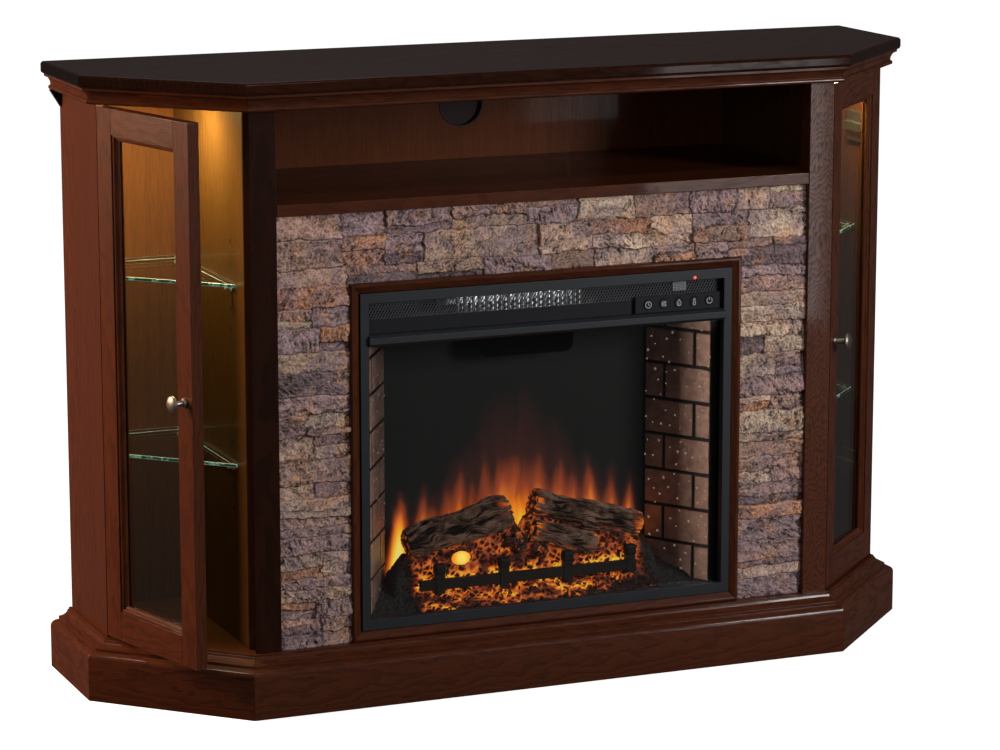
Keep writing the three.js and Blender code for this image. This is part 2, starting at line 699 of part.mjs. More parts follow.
function doorFrame() {
  const slope = BEAD_WIDTH / BEAD_DEPTH;
  return cut(block(0, DOOR_WIDTH, 0, DOOR_THICKNESS, DOOR_BOTTOM, DOOR_TOP), {
    less: [
      doorOpening(0, -REACH_PAST, DOOR_THICKNESS + REACH_PAST),
      doorOpening(BEAD_WIDTH + slope * JOIN_SINK, -JOIN_SINK, BEAD_DEPTH, 0),
      doorOpening(REBATE_WIDTH, DOOR_THICKNESS - REBATE_DEPTH, DOOR_THICKNESS + REACH_PAST),
    ],
  });
}

function doorGlass() {
  const near = DOOR_THICKNESS - REBATE_DEPTH + SEAT_GAP;
  return doorOpening(REBATE_WIDTH - SEAT_GAP, near, near + DOOR_GLASS);
}

// A turned knob: rosette, slim neck and a domed head, standing out of the door's face.
function doorKnob() {
  const headFoot = KNOB_REACH - KNOB_HEAD;
  const brim = headFoot + KNOB_SKIRT;
  const profile = [
    [0, SEAT_GAP],
    [KNOB_ROSETTE, SEAT_GAP],
    [KNOB_ROSETTE, KNOB_FOOT[0]],
    [KNOB_NECK, KNOB_FOOT[1]],
    [KNOB_NECK, headFoot],
    ...quarter(0, brim, KNOB_RADIUS, KNOB_REACH - brim, 0, 90, 5).slice(0, -1),
    [0, KNOB_REACH],
  ].map(([r, reach]) => new THREE.Vector2(r, reach));
  const lathe = new THREE.LatheGeometry(profile, KNOB_SIDES).rotateX(Math.PI);
  return closed(lathe.translate(DOOR_WIDTH - KNOB_INSET, 0, DOOR_BOTTOM + KNOB_LIFT));
}

function addDoor(side, way, openBy) {
  const hinge = OUTLINE[1].clone().addScaledVector(along(1), DOOR_HINGE_GAP);
  const door = new THREE.Group();
  door.position.set(-way * hinge.x, hinge.y, 0);
  door.rotation.z = way * THREE.MathUtils.degToRad(45 + openBy);
  const handed = (geometry) => (way < 0 ? geometry : mirrored(geometry));
  place(`${side}_door_frame`, 'wood', handed(doorFrame()), door);
  place(`${side}_door_glass`, 'clear_glass', handed(doorGlass()), door);
  place(`${side}_door_knob`, 'nickel', handed(doorKnob()), door);
  fireplace.add(door);
}
addDoor('left', -1, LEFT_DOOR_AJAR);
addDoor('right', 1, RIGHT_DOOR_AJAR);

// ---------------------------------------------------------------- stone facing
// Splits a length into pieces that vary round a usual size and fill it.
function split(length, usual, random) {
  const count = Math.max(1, Math.round(length / usual + SPLIT_SPREAD * (random() - 0.5)));
  const shares = Array.from({ length: count }, () => 1 + SPLIT_SPREAD * (random() - 0.5));
  const total = shares.reduce((sum, share) => sum + share, 0);
  let at = 0;
  return shares.map((share) => {
    const from = at;
    at += (share * length) / total;
    return [from, at];
  });
}

function stoneFacing(x0, x1, z0, z1, seed) {
  const random = numbersFrom(seed);
  const front = FRONT + DEPTH_STONE;
  const [least, most] = STONE_RELIEF;
  const half = STONE_JOINT / 2;
  const stones = split(z1 - z0, STONE_COURSE, random).flatMap(([low, high]) =>
    split(x1 - x0, STONE_LENGTH, random).map(([from, to]) => {
      const relief = least + (most - least) * random();
      const ends = [x0 + from + (from > 0 ? half : 0), x0 + to - (x0 + to < x1 - half ? half : 0)];
      return block(...ends, front - relief, front + JOIN_SINK, z0 + low + half, z0 + high - half);
    }),
  );
  return cut(block(x0, x1, front, front + STONE_BACKING, z0, z1), { plus: stones });
}

const STONE_INNER = TRIM_HALF + SEAT_GAP;
const STONE_OUTER = POST_INNER - SEAT_GAP;
const STONE_TOP_FOOT = TRIM_TOP + SEAT_GAP;
place('stone_top', 'stone', stoneFacing(-STONE_OUTER, STONE_OUTER, STONE_TOP_FOOT, MEDIA_SHELF_HEIGHT, 41));
place('stone_left', 'stone', stoneFacing(-STONE_OUTER, -STONE_INNER, DECK, STONE_TOP_FOOT - SEAT_GAP, 73));
place('stone_right', 'stone', stoneFacing(STONE_INNER, STONE_OUTER, DECK, STONE_TOP_FOOT - SEAT_GAP, 97));

// ---------------------------------------------------------------- wood trim round the firebox
// Each piece has a profile [in from the outer edge, depth] and mitred ends.
function trimPiece(turns) {
  const profile = [
    [0, DEPTH_TRIM_BACK],
    [0, TRIM_EASE],
    [TRIM_EASE, 0],
    [TRIM_EDGE, 0],
    [TRIM_WIDTH, TRIM_BEVEL],
    [TRIM_WIDTH, DEPTH_TRIM_BACK],
  ];
  const across = TRIM_HALF;
  const up = (TRIM_TOP - TRIM_BOTTOM) / 2;
  const [run, out] = turns % 2 ? [up, across] : [across, up];
  const rings = [-1, 1].map((end) =>
    profile.map(([inset, depth]) => {
      const [u, v] = [end * (run - inset - SEAT_GAP / 2), out - inset];
      const [x, z] = [[u, v], [v, -u], [-u, -v], [-v, u]][turns];
      return [x, FRONT + depth, z + (TRIM_TOP + TRIM_BOTTOM) / 2];
    }),
  );
  return loft(profile, rings);
}
['top', 'right', 'bottom', 'left'].forEach((side, turns) => place(`trim_${side}`, 'wood', trimPiece(turns)));

// ---------------------------------------------------------------- firebox: frame, glass and header
function fireFrame() {
  const half = INSERT_WIDTH / 2;
  const opening = half - FRAME_STILE;
  const front = FRONT + DEPTH_FRAME;
  const barFront = front - FASCIA_REACH;
  const fascia = rail(
    [
      [FRAME_BACK, GLASS_TOP],
      [front, GLASS_TOP],
      [barFront, GLASS_TOP + FASCIA_CHAMFER],
      [barFront, HEADER_BOTTOM - FASCIA_CHAMFER],
      [front, HEADER_BOTTOM],
      [FRAME_BACK, HEADER_BOTTOM],
    ],
    -opening - JOIN_SINK,
    opening + JOIN_SINK,
  );
  const [near, far] = [front - REACH_PAST, FRAME_BACK + REACH_PAST];
  const plate = cut(block(-half, half, front, FRAME_BACK, INSERT_BOTTOM, INSERT_TOP), {
    less: [
      block(-opening, opening, near, far, HEADER_BOTTOM, HEADER_TOP),
      block(-opening, opening, near, far, GLASS_BOTTOM, GLASS_TOP),
    ],
  });
  return cut(plate, { plus: [fascia] });
}

function fireGlass() {
  const half = CASE_HALF - SHEET;
  const near = FRAME_BACK + SEAT_GAP;
  return block(-half, half, near, near + FIRE_GLASS, CHAMBER_FLOOR, CHAMBER_CEILING);
}

const GRILLE_NEAR = FRAME_BACK + SEAT_GAP;
function heaterGrille() {
  const half = CASE_HALF - SHEET;
  const far = GRILLE_NEAR + GRILLE_THICKNESS;
  const opening = INSERT_WIDTH / 2 - FRAME_STILE - GRILLE_MARGIN;
  const count = Math.floor((2 * opening) / GRILLE_PITCH);
  const halfSlot = (GRILLE_PITCH - GRILLE_BAR) / 2;
  const top = HEADER_TOP - GRILLE_MARGIN / 2;
  const slots = Array.from({ length: count }, (_, i) => {
    const x = (i - (count - 1) / 2) * GRILLE_PITCH;
    const [left, right] = [x - halfSlot, x + halfSlot];
    return block(left, right, GRILLE_NEAR - REACH_PAST, far + REACH_PAST, top - GRILLE_BAND, top);
  });
  return cut(block(-half, half, GRILLE_NEAR, far, CHANNEL_FLOOR, CHANNEL_CEILING), { less: slots });
}

// Control strip in the lower right of the header, in front of the grille, with its press buttons.
const STRIP_RIGHT = INSERT_WIDTH / 2 - FRAME_STILE - SEAT_GAP;
const STRIP_BACK = GRILLE_NEAR - SEAT_GAP;
const STRIP_FRONT = STRIP_BACK - STRIP_THICKNESS;
const STRIP_BOTTOM = HEADER_BOTTOM + SEAT_GAP;
const BUTTON_HEIGHT = STRIP_BOTTOM + STRIP_HEIGHT / 2;
const STRIP_MIDDLE = STRIP_RIGHT - STRIP_WIDTH / 2;
const buttonX = (index) => STRIP_MIDDLE + (index - (BUTTON_NAMES.length - 1) / 2) * BUTTON_PITCH;

function controlStrip() {
  const [left, top] = [STRIP_RIGHT - STRIP_WIDTH, STRIP_BOTTOM + STRIP_HEIGHT];
  const [near, far] = [STRIP_FRONT - REACH_PAST, STRIP_BACK + REACH_PAST];
  const hole = (index) => rod('y', BUTTON_SIZE / 2, near, far, [buttonX(index), 0, BUTTON_HEIGHT]);
  const holes = BUTTON_NAMES.map((_, index) => hole(index));
  return cut(block(left, STRIP_RIGHT, STRIP_FRONT, STRIP_BACK, STRIP_BOTTOM, top), { less: holes });
}

function pressButton(index) {
  const radius = BUTTON_SIZE / 2 - BUTTON_CLEARANCE;
  const far = STRIP_BACK - BUTTON_TRAVEL - BUTTON_SPARE;
  return rod('y', radius, STRIP_FRONT - BUTTON_PROUD, far, [buttonX(index), 0, BUTTON_HEIGHT]);
}

place('firebox_front_frame', 'black_steel', fireFrame());
place('firebox_glass', 'dark_glass', fireGlass());
place('heater_grille', 'grille', heaterGrille());
place('control_strip', 'black_plastic', controlStrip());
BUTTON_NAMES.forEach((name, i) => place(`${name}_button`, 'black_plastic', pressButton(i)));

// ---------------------------------------------------------------- firebox: case, spindles and heater
const SPINDLE_Y = FRONT + DEPTH_SPINDLES;
const BLOWER_Z = (CHANNEL_FLOOR + CHANNEL_CEILING) / 2;
const ROTOR_Z = CHAMBER_FLOOR + ROTOR_LIFT;

// A bearing plate that stands on a floor, with a round hole for a spindle.
function bearing(x, z, floor) {
  const half = BEARING_SIZE / 2;
  return block(
    x - BEARING_THICKNESS / 2,
    x + BEARING_THICKNESS / 2,
    SPINDLE_Y - half,
    SPINDLE_Y + half,
    floor - SHEET / 2,
    z + half,
  );
}

// Flats of the hole clear the corners of the shaft.
const BEARING_RADIUS = (SHAFT_RADIUS + BEARING_GAP) / Math.cos(Math.PI / ROUND_SIDES);
const BLOWER_BEARING_X = BLOWER_LENGTH / 2 + BEARING_SIDE_GAP + BEARING_THICKNESS / 2;
const ROTOR_BEARING_X = ROTOR_LENGTH / 2 - BEARING_THICKNESS;

function hangingTab() {
  const half = TAB_WIDTH / 2;
  const foot = CHAMBER_CEILING - TAB_HEIGHT;
  const cornerAt = (side) => {
    const arc = quarter(side * (half - TAB_CORNER), foot + TAB_CORNER, side * TAB_CORNER, TAB_CORNER, -90, 0);
    return side < 0 ? arc.toReversed() : arc;
  };
  const outline = [
    [-half, CHAMBER_CEILING + SHEET / 2],
    ...cornerAt(-1),
    ...cornerAt(1),
    [half, CHAMBER_CEILING + SHEET / 2],
  ];
  const rings = [0, SHEET].map((y) => outline.map(([x, z]) => [x, FRONT + DEPTH_TAB + y, z]));
  return loft(outline, rings);
}

function fireCase() {
  const inner = CASE_HALF - SHEET;
  const back = CASE_BACK - SHEET;
  const near = CASE_FRONT - REACH_PAST;
  const shell = cut(block(-CASE_HALF, CASE_HALF, CASE_FRONT, CASE_BACK, CASE_BOTTOM, CASE_TOP), {
    less: [
      block(-inner, inner, near, back, CHAMBER_FLOOR, CHAMBER_CEILING),
      block(-inner, inner, near, back, CHANNEL_FLOOR, CHANNEL_CEILING),
    ],
  });
  const footX = CASE_HALF - CASE_FOOT;
  const feet = [-footX, footX - CASE_FOOT].flatMap((x) =>
    [CASE_FRONT + CASE_FOOT / 2, CASE_BACK - 1.5 * CASE_FOOT].map((y) =>
      block(x, x + CASE_FOOT, y, y + CASE_FOOT, DECK + SEAT_GAP, CASE_BOTTOM + SHEET / 2),
    ),
  );
  const ways = [-1, 1];
  const plates = ways.flatMap((way) => [
    bearing(way * BLOWER_BEARING_X, BLOWER_Z, CHANNEL_FLOOR),
    bearing(way * ROTOR_BEARING_X, ROTOR_Z, CHAMBER_FLOOR),
  ]);
  const holes = [
    [BLOWER_BEARING_X + BEARING_THICKNESS, BLOWER_Z],
    [ROTOR_BEARING_X + BEARING_THICKNESS, ROTOR_Z],
  ].map(([reach, z]) => rod('x', BEARING_RADIUS, -reach, reach, [0, SPINDLE_Y, z]));
  return cut(shell, { plus: [...feet, ...plates, hangingTab()], less: holes });
}

function blowerWheel() {
  const shaftHalf = BLOWER_BEARING_X + BEARING_THICKNESS;
  const shaft = rod('x', SHAFT_RADIUS, -shaftHalf, shaftHalf, [0, 0, 0]);
  const discs = [-1, 0, 1].map((at) => {
    const x = (at * (BLOWER_LENGTH - BLOWER_DISC)) / 2;
    return rod('x', BLOWER_RADIUS, x - BLOWER_DISC / 2, x + BLOWER_DISC / 2, [0, 0, 0]);
  });
  const half = BLOWER_LENGTH / 2 - BLOWER_DISC + JOIN_SINK;
  const edge = BLOWER_RADIUS - BLOWER_RIM;
  const blades = Array.from({ length: BLOWER_BLADES }, (_, i) => {
    const blade = block(-half, half, edge - BLOWER_BLADE_WIDTH, edge, -BLOWER_BLADE / 2, BLOWER_BLADE / 2);
    return closed(blade.rotateX((2 * Math.PI * i) / BLOWER_BLADES));
  });
  return cut(shaft, { plus: [...discs, ...blades] });
}

// A slim spindle with small foils, each turned a little further than the last.
function flameRotor() {
  const shaft = rod('x', SHAFT_RADIUS, -ROTOR_LENGTH / 2, ROTOR_LENGTH / 2, [0, 0, 0]);
  const [length, height, thickness] = ROTOR_FOIL;
  const clear = 2 * (ROTOR_BEARING_X - ROTOR_FOIL_GAP) - BEARING_THICKNESS;
  const foils = Array.from({ length: ROTOR_FOILS }, (_, i) => {
    const foil = block(-length / 2, length / 2, -thickness / 2, thickness / 2, -height / 2, height / 2);
    const x = ((i + 0.5) / ROTOR_FOILS - 0.5) * clear;
    return closed(foil.rotateX(THREE.MathUtils.degToRad(i * ROTOR_TURN)).translate(x, 0, 0));
  });
  return cut(shaft, { plus: foils });
}

function heatingElement() {
  const half = HEATER_WIDTH / 2;
  const [near, far] = [FRONT + DEPTH_HEATER, FRONT + DEPTH_HEATER + HEATER_THICKNESS];
  const [low, high] = [CHANNEL_FLOOR + SEAT_GAP, CHANNEL_CEILING - SEAT_GAP];
  const pitch = (HEATER_WIDTH - HEATER_FIN) / (HEATER_FINS - 1);
  const fins = Array.from({ length: HEATER_FINS }, (_, i) =>
    block(-half + i * pitch, -half + i * pitch + HEATER_FIN, near, far, low, high),
  );
  const topRail = block(-half, half, near, far, high - HEATER_RAIL, high);
  return cut(block(-half, half, near, far, low, low + HEATER_RAIL), { plus: [topRail, ...fins] });
}

function cordGland() {
  const seam = CASE_BACK + GLAND_FLANGE;
  const tip = CASE_BACK + GLAND_REACH;
  const flange = rod('y', GLAND_RADIUS, CASE_BACK + SEAT_GAP, seam, [0, 0, 0]);
  const nose = rod('y', GLAND_NOSE, seam - JOIN_SINK, tip, [0, 0, 0]);
  const bore = rod('y', GLAND_BORE, seam, tip + JOIN_SINK, [0, 0, 0]);
  const gland = cut(flange, { plus: [nose], less: [bore] });
  return gland.translate(CASE_HALF - GLAND_INSET, 0, CASE_BOTTOM + GLAND_LIFT);
}

place('firebox_case', 'black_steel', fireCase());
place('blower_wheel', 'heater', blowerWheel()).position.set(0, SPINDLE_Y, BLOWER_Z);
place('flame_rotor', 'foil', flameRotor()).position.set(0, SPINDLE_Y, ROTOR_Z);
place('heating_element', 'heater', heatingElement());
place('cord_gland', 'black_plastic', cordGland());

// ---------------------------------------------------------------- firebox: brick walls and screen
// The left wall runs from its front edge at the origin along +X, with its bricks towards -Y.
const BRICK_REACH = DEPTH_SCREEN - SEAT_GAP - DEPTH_BRICK_FRONT;
const BRICK_SPLAY = Math.atan2(BRICK_REACH, BRICK_RUN);
const BRICK_LENGTH = Math.hypot(BRICK_RUN, BRICK_REACH) - BRICK_BACKING / Math.tan(BRICK_SPLAY);

function brickWall() {
  const [low, high] = [CHAMBER_FLOOR + SEAT_GAP, CHAMBER_CEILING - SEAT_GAP];
  const half = BRICK_JOINT / 2;
  const bricks = [];
  let course = 0;
  for (let z = low - BRICK_COURSE + half; z < high; z += BRICK_COURSE) {
    const [z0, z1] = [Math.max(z + half, low), Math.min(z + BRICK_COURSE - half, high)];
    const joint = BRICK_SPLITS[course % BRICK_SPLITS.length] * BRICK_LENGTH;
    if (z1 - z0 > BRICK_JOINT) {
      bricks.push(block(0, BRICK_LENGTH - joint - half, -BRICK_RELIEF, JOIN_SINK, z0, z1));
      bricks.push(block(BRICK_LENGTH - joint + half, BRICK_LENGTH, -BRICK_RELIEF, JOIN_SINK, z0, z1));
    }
    course += 1;
  }
  return cut(block(0, BRICK_LENGTH, 0, BRICK_BACKING, low, high), { plus: bricks });
}

for (const [side, way] of [['left', -1], ['right', 1]]) {
  const wall = new THREE.Group();
  wall.position.set(way * BRICK_FRONT_HALF, FRONT + DEPTH_BRICK_FRONT, 0);
  wall.rotation.z = -way * BRICK_SPLAY;
  place(`brick_wall_${side}`, 'bronze', way < 0 ? brickWall() : mirrored(brickWall()), wall);
  fireplace.add(wall);
}

const SCREEN_HALF = CASE_HALF - SHEET - SEAT_GAP;
const SCREEN_NEAR = FRONT + DEPTH_SCREEN;
const SCREEN_FAR = SCREEN_NEAR + SCREEN_THICKNESS;
const SCREEN_TOP = CHAMBER_CEILING - SEAT_GAP;
const screen = block(-SCREEN_HALF, SCREEN_HALF, SCREEN_NEAR, SCREEN_FAR, CHAMBER_FLOOR, SCREEN_TOP);
place('flame_screen', 'screen', screen);

// ---------------------------------------------------------------- firebox: logs, grate and embers
// A rough log through rings of points, a little uneven in every direction.
const logPoint = ([x, forwards, lift]) => new THREE.Vector3(x, SCREEN_NEAR - forwards, CHAMBER_FLOOR + lift);

function log({ from, to, radius, seed }, grow = 0) {
  const [start, end] = [logPoint(from), logPoint(to)];
  const axis = end.clone().sub(start);
  const sideways = new THREE.Vector3().crossVectors(axis, new THREE.Vector3(0, 0, 1)).normalize();
  const upwards = new THREE.Vector3().crossVectors(sideways, axis).normalize();
  const random = numbersFrom(seed);
  const phases = Array.from({ length: 3 }, () => 2 * Math.PI * random());
  const circle = Array.from({ length: LOG_SIDES }, (_, i) => (2 * Math.PI * i) / LOG_SIDES);
  const reach = grow / axis.length();
  const rings = Array.from({ length: LOG_RINGS + 1 }, (_, r) => {
    const t = r / LOG_RINGS;
    const centre = start.clone().addScaledVector(axis, t + (2 * t - 1) * reach);
    return circle.map((angle) => {
      const bumps = Math.sin(2 * angle + phases[0] + 5 * t) + Math.sin(3 * angle + phases[1] - 9 * t);
      const size = radius * (1 + (LOG_ROUGHNESS / 2) * (bumps + Math.sin(11 * t + phases[2]))) + grow;
      return centre
        .clone()
        .addScaledVector(sideways, size * Math.cos(angle))
        .addScaledVector(upwards, size * Math.sin(angle))
        .toArray();
    });
  });
  return loft(circle.map((angle) => [Math.cos(angle), Math.sin(angle)]), rings);
}

function grate(grow = 0) {
  const middle = FRONT + DEPTH_GRATE;
  const level = CHAMBER_FLOOR + GRATE_BAR_LIFT;
  const thick = GRATE_THICKNESS / 2 + grow;
  const [low, high] = [level - GRATE_BAR / 2 - grow, level + GRATE_BAR / 2 + grow];
  const barEnd = GRATE_FROM + GRATE_LENGTH + grow;
  const bar = block(GRATE_FROM - grow, barEnd, middle - thick, middle + thick, low, high);
  const reach = thick + GRATE_POST_PROUD;
  const halfPost = GRATE_POST_WIDTH / 2 + grow;
  const foot = CHAMBER_FLOOR + (grow > 0 ? -REACH_PAST : SEAT_GAP);
  const first = GRATE_FROM + GRATE_LEFT_END;
  const pitch = (GRATE_LENGTH - GRATE_LEFT_END - GRATE_RIGHT_END) / (GRATE_POSTS - 1);
  const posts = Array.from({ length: GRATE_POSTS }, (_, i) => {
    const x = first + i * pitch;
    const top = level + GRATE_POST_RISE + grow;
    return block(x - halfPost, x + halfPost, middle - reach, middle + reach, foot, top);
  });
  return cut(bar, { plus: posts });
}

// Height of the ember bed at a point: a rising slope with lumps, heaped up under each log.
function bedHeight(x, y, share) {
  const coarse = Math.sin(x * 0.11 + y * 0.05) * Math.cos(y * 0.16 - x * 0.023);
  const fine = 0.6 * Math.sin(x * 0.047 - y * 0.21);
  const slope = BED_FRONT_HEIGHT + (BED_BACK_HEIGHT - BED_FRONT_HEIGHT) * share;
  let height = CHAMBER_FLOOR + slope + BED_ROUGHNESS * (coarse + fine) * Math.min(1, 3 * share);
  for (const { from, to, radius } of Object.values(LOGS)) {
    const t = THREE.MathUtils.clamp((x - from[0]) / (to[0] - from[0]), 0, 1);
    const middle = logPoint(from).lerp(logPoint(to), t);
    const nearEnd = x > from[0] - radius / 2 && x < to[0] + radius / 2;
    const under = nearEnd && Math.abs(y - middle.y) < radius;
    if (under) height = Math.max(height, middle.z - radius * LOG_SINK);
  }
  return height;
}

function emberBed() {
  const nearDepth = CASE_FRONT - FRONT + BED_CLEARANCE;
  const farDepth = DEPTH_SCREEN - BED_CLEARANCE;
  const floor = CHAMBER_FLOOR + SEAT_GAP;
  const halfAt = (depth) => {
    const behind = depth - DEPTH_BRICK_FRONT;
    const share = THREE.MathUtils.clamp(behind / (DEPTH_SCREEN - DEPTH_BRICK_FRONT), 0, 1);
    const wall = BRICK_FRONT_HALF - share * BRICK_RUN - BRICK_RELIEF / Math.sin(BRICK_SPLAY);
    return wall - BED_CLEARANCE;
  };
  const rings = Array.from({ length: BED_ROWS + 1 }, (_, row) => {
    const share = row / BED_ROWS;
    const depth = nearDepth + (farDepth - nearDepth) * share;
    const half = halfAt(depth);
    const top = Array.from({ length: BED_COLUMNS + 1 }, (__, column) => {
      const x = half * ((2 * column) / BED_COLUMNS - 1);
      return [x, FRONT + depth, bedHeight(x, FRONT + depth, share)];
    });
    return [[-half, FRONT + depth, floor], [half, FRONT + depth, floor], ...top.toReversed()];
  });
  const bed = loft(rings[0].map(([x, , z]) => [x, z]), rings);
  const seats = [log(LOGS.left, SEAT_GAP), log(LOGS.right, SEAT_GAP), grate(SEAT_GAP)];
  return cut(bed, { plus: [log(LOGS.low)], less: seats });
}

place('log_left', 'bark', log(LOGS.left));
place('log_right', 'bark', log(LOGS.right));
place('grate', 'iron', grate());
place('ember_bed', 'ember', emberBed());

export default fireplace;
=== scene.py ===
# %% [markdown]
# # A corner electric fireplace
# A mantel cabinet of stained cherry stands across a corner. Its middle holds an electric firebox in a
# stone facing, and each angled end holds a lit display cabinet behind a glass door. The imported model
# gives every piece its size and place; this lesson gives each one its edges, surface and light.
# Lengths are metres, +X is right, +Y is back and +Z is up.

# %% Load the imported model
import json
import math

import bmesh
import bpy
import numpy as np
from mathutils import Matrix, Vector

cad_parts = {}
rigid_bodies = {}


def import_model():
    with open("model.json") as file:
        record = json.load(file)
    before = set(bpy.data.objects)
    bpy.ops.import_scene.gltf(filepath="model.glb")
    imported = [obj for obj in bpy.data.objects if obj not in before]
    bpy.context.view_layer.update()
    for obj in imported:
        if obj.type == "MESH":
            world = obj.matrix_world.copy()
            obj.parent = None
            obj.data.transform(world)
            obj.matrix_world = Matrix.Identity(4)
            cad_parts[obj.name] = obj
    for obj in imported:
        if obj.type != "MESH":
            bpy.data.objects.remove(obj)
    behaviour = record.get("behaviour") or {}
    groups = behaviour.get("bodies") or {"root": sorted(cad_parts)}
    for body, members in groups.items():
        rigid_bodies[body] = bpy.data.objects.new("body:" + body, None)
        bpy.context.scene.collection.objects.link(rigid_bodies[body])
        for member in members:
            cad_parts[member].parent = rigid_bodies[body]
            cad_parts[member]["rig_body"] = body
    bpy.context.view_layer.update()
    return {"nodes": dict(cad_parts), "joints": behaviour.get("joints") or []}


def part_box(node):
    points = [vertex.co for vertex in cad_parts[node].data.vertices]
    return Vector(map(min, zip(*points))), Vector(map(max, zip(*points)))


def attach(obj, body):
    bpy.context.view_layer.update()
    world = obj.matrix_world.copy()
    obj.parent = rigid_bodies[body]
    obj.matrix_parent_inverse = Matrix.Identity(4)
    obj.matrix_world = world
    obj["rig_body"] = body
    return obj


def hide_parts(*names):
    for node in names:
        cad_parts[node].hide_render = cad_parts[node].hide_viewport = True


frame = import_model()
nodes = frame["nodes"]
MM = 0.001
UP = Vector((0, 0, 1))

# %% [markdown]
# ## Camera
# The picture is taken from the left, a little above the top board, with a long lens, so upright lines
# stay nearly parallel. The place was found from the corners of the top board, base and firebox.

# %% Camera
CAMERA_PLACE = Vector((-2.0557, -4.9081, 1.5045))
CAMERA_TURN = math.radians(22.67)
CAMERA_DIP = math.radians(11.43)
LENS_LENGTH = 129.5
SENSOR_WIDTH = 36


def aim(thing, direction):
    """Points a camera or light along a direction."""
    thing.rotation_euler = direction.to_track_quat("-Z", "Y").to_euler()


camera = bpy.data.objects.new("camera", bpy.data.cameras.new("camera"))
bpy.context.scene.collection.objects.link(camera)
camera.location = CAMERA_PLACE
camera.data.lens = LENS_LENGTH
camera.data.sensor_width = SENSOR_WIDTH
flat = math.cos(CAMERA_DIP)
aim(camera, Vector((math.sin(CAMERA_TURN) * flat, math.cos(CAMERA_TURN) * flat, -math.sin(CAMERA_DIP))))
bpy.context.scene.camera = camera
bpy.context.scene.view_settings.view_transform = "Standard"
print("camera stands", round(CAMERA_PLACE.length, 2), "m from the origin")

# %% [markdown]
# ## Studio
# Dark polished wood is drawn by what it mirrors. A dim room keeps the boards deep and dark, and a few
# bright softboxes draw thin highlights along the mouldings. The one on the right lights the right
# post and leaves the left post dark, and the one on the left is stronger, for the side and the door.

# %% Softboxes
def softbox(name, place, target, width, height, watts, tint=(1, 1, 1)):
    """An area light at a place, facing a target."""
    lamp = bpy.data.objects.new(name, bpy.data.lights.new(name, "AREA"))
    bpy.context.scene.collection.objects.link(lamp)
    lamp.data.shape = "RECTANGLE"
    lamp.data.size = width
    lamp.data.size_y = height
    lamp.data.energy = watts
    lamp.data.color = tint
    lamp.location = place
    aim(lamp, Vector(target) - Vector(place))
    return lamp


key_right = softbox("key_right", (2.2, -2.9, 1.5), (0.35, 0, 0.5), 0.8, 1.2, 62)
softbox("low_right", (1.55, -2.7, 0.45), (0.44, 0, 0.5), 0.4, 0.9, 3.2)
softbox("overhead", (-0.3, -1.7, 2.9), (0, 0, 0.4), 1.8, 0.25, 10)
side_left = softbox("side_left", (-2.4, 1.0, 1.2), (-0.66, 0, 0.65), 0.8, 0.9, 90, (1, 0.68, 0.45))
base_glint = softbox("base_glint", (-1.45, 0.05, 1.6), (-0.5, -0.15, 0.1), 0.5, 0.12, 3.5)
softbox("front_left", (-2.9, -3.2, 1.3), (0.2, 0, 0.4), 0.25, 1.4, 8)
softbox("behind", (0.4, 2.4, 3.2), (0, 0.2, 0.4), 1.6, 1.0, 5)
print("softboxes:", len(bpy.data.lights))

# %% [markdown]
# ## Light for the firebox
# The brick walls stand deep behind a steel frame, yet they catch a warm light. More light everywhere
# would grey the black steel, so light linking is used: each lamp has one collection of pieces that it
# lights and one of pieces that shade it, and both are filled as those pieces are made.

# %% Wall lights
inside_firebox = bpy.data.collections.new("inside_firebox")
firebox_screens = bpy.data.collections.new("firebox_screens")
brick_pimples = bpy.data.collections.new("brick_pimples")
WALL_LIGHT_TINT = (1, 0.84, 0.72)
# Place, target, width, height, watts and what each one lights.
WALL_LIGHTS = (
    ((-2.6, -0.41, 0.5), (0.26, -0.12, 0.35), 0.20, 1.0, 36, inside_firebox),
    ((2.6, -0.41, 0.5), (-0.26, -0.12, 0.35), 0.20, 1.0, 36, inside_firebox),
    ((-1.6, -2.2, 0.9), (0.25, -0.1, 0.35), 0.3, 0.3, 40, brick_pimples),
)
for number, (place, target, width, height, watts, receivers) in enumerate(WALL_LIGHTS):
    wall_light = softbox(f"wall_light_{number}", place, target, width, height, watts, WALL_LIGHT_TINT)
    wall_light.light_linking.receiver_collection = receivers
    wall_light.light_linking.blocker_collection = firebox_screens
print("wall lights:", len(WALL_LIGHTS))

# %% Dim room
ROOM_TINT = (1, 0.96, 0.95, 1)
ROOM_LIGHT = 0.05
world = bpy.data.worlds.new("studio")
bpy.context.scene.world = world
world.use_nodes = True
room = world.node_tree.nodes["Background"]
room.inputs["Color"].default_value = ROOM_TINT
room.inputs["Strength"].default_value = ROOM_LIGHT
print("room light:", ROOM_LIGHT)

# %% [markdown]
# ## Shader formulas
# A material is a formula from place to colour. Writing it with + and * in Python is shorter and easier
# to read than wiring nodes by hand, so one small class turns arithmetic into Math nodes, and one
# method adds every other kind of node. The same pair also builds the Geometry Nodes trees below.

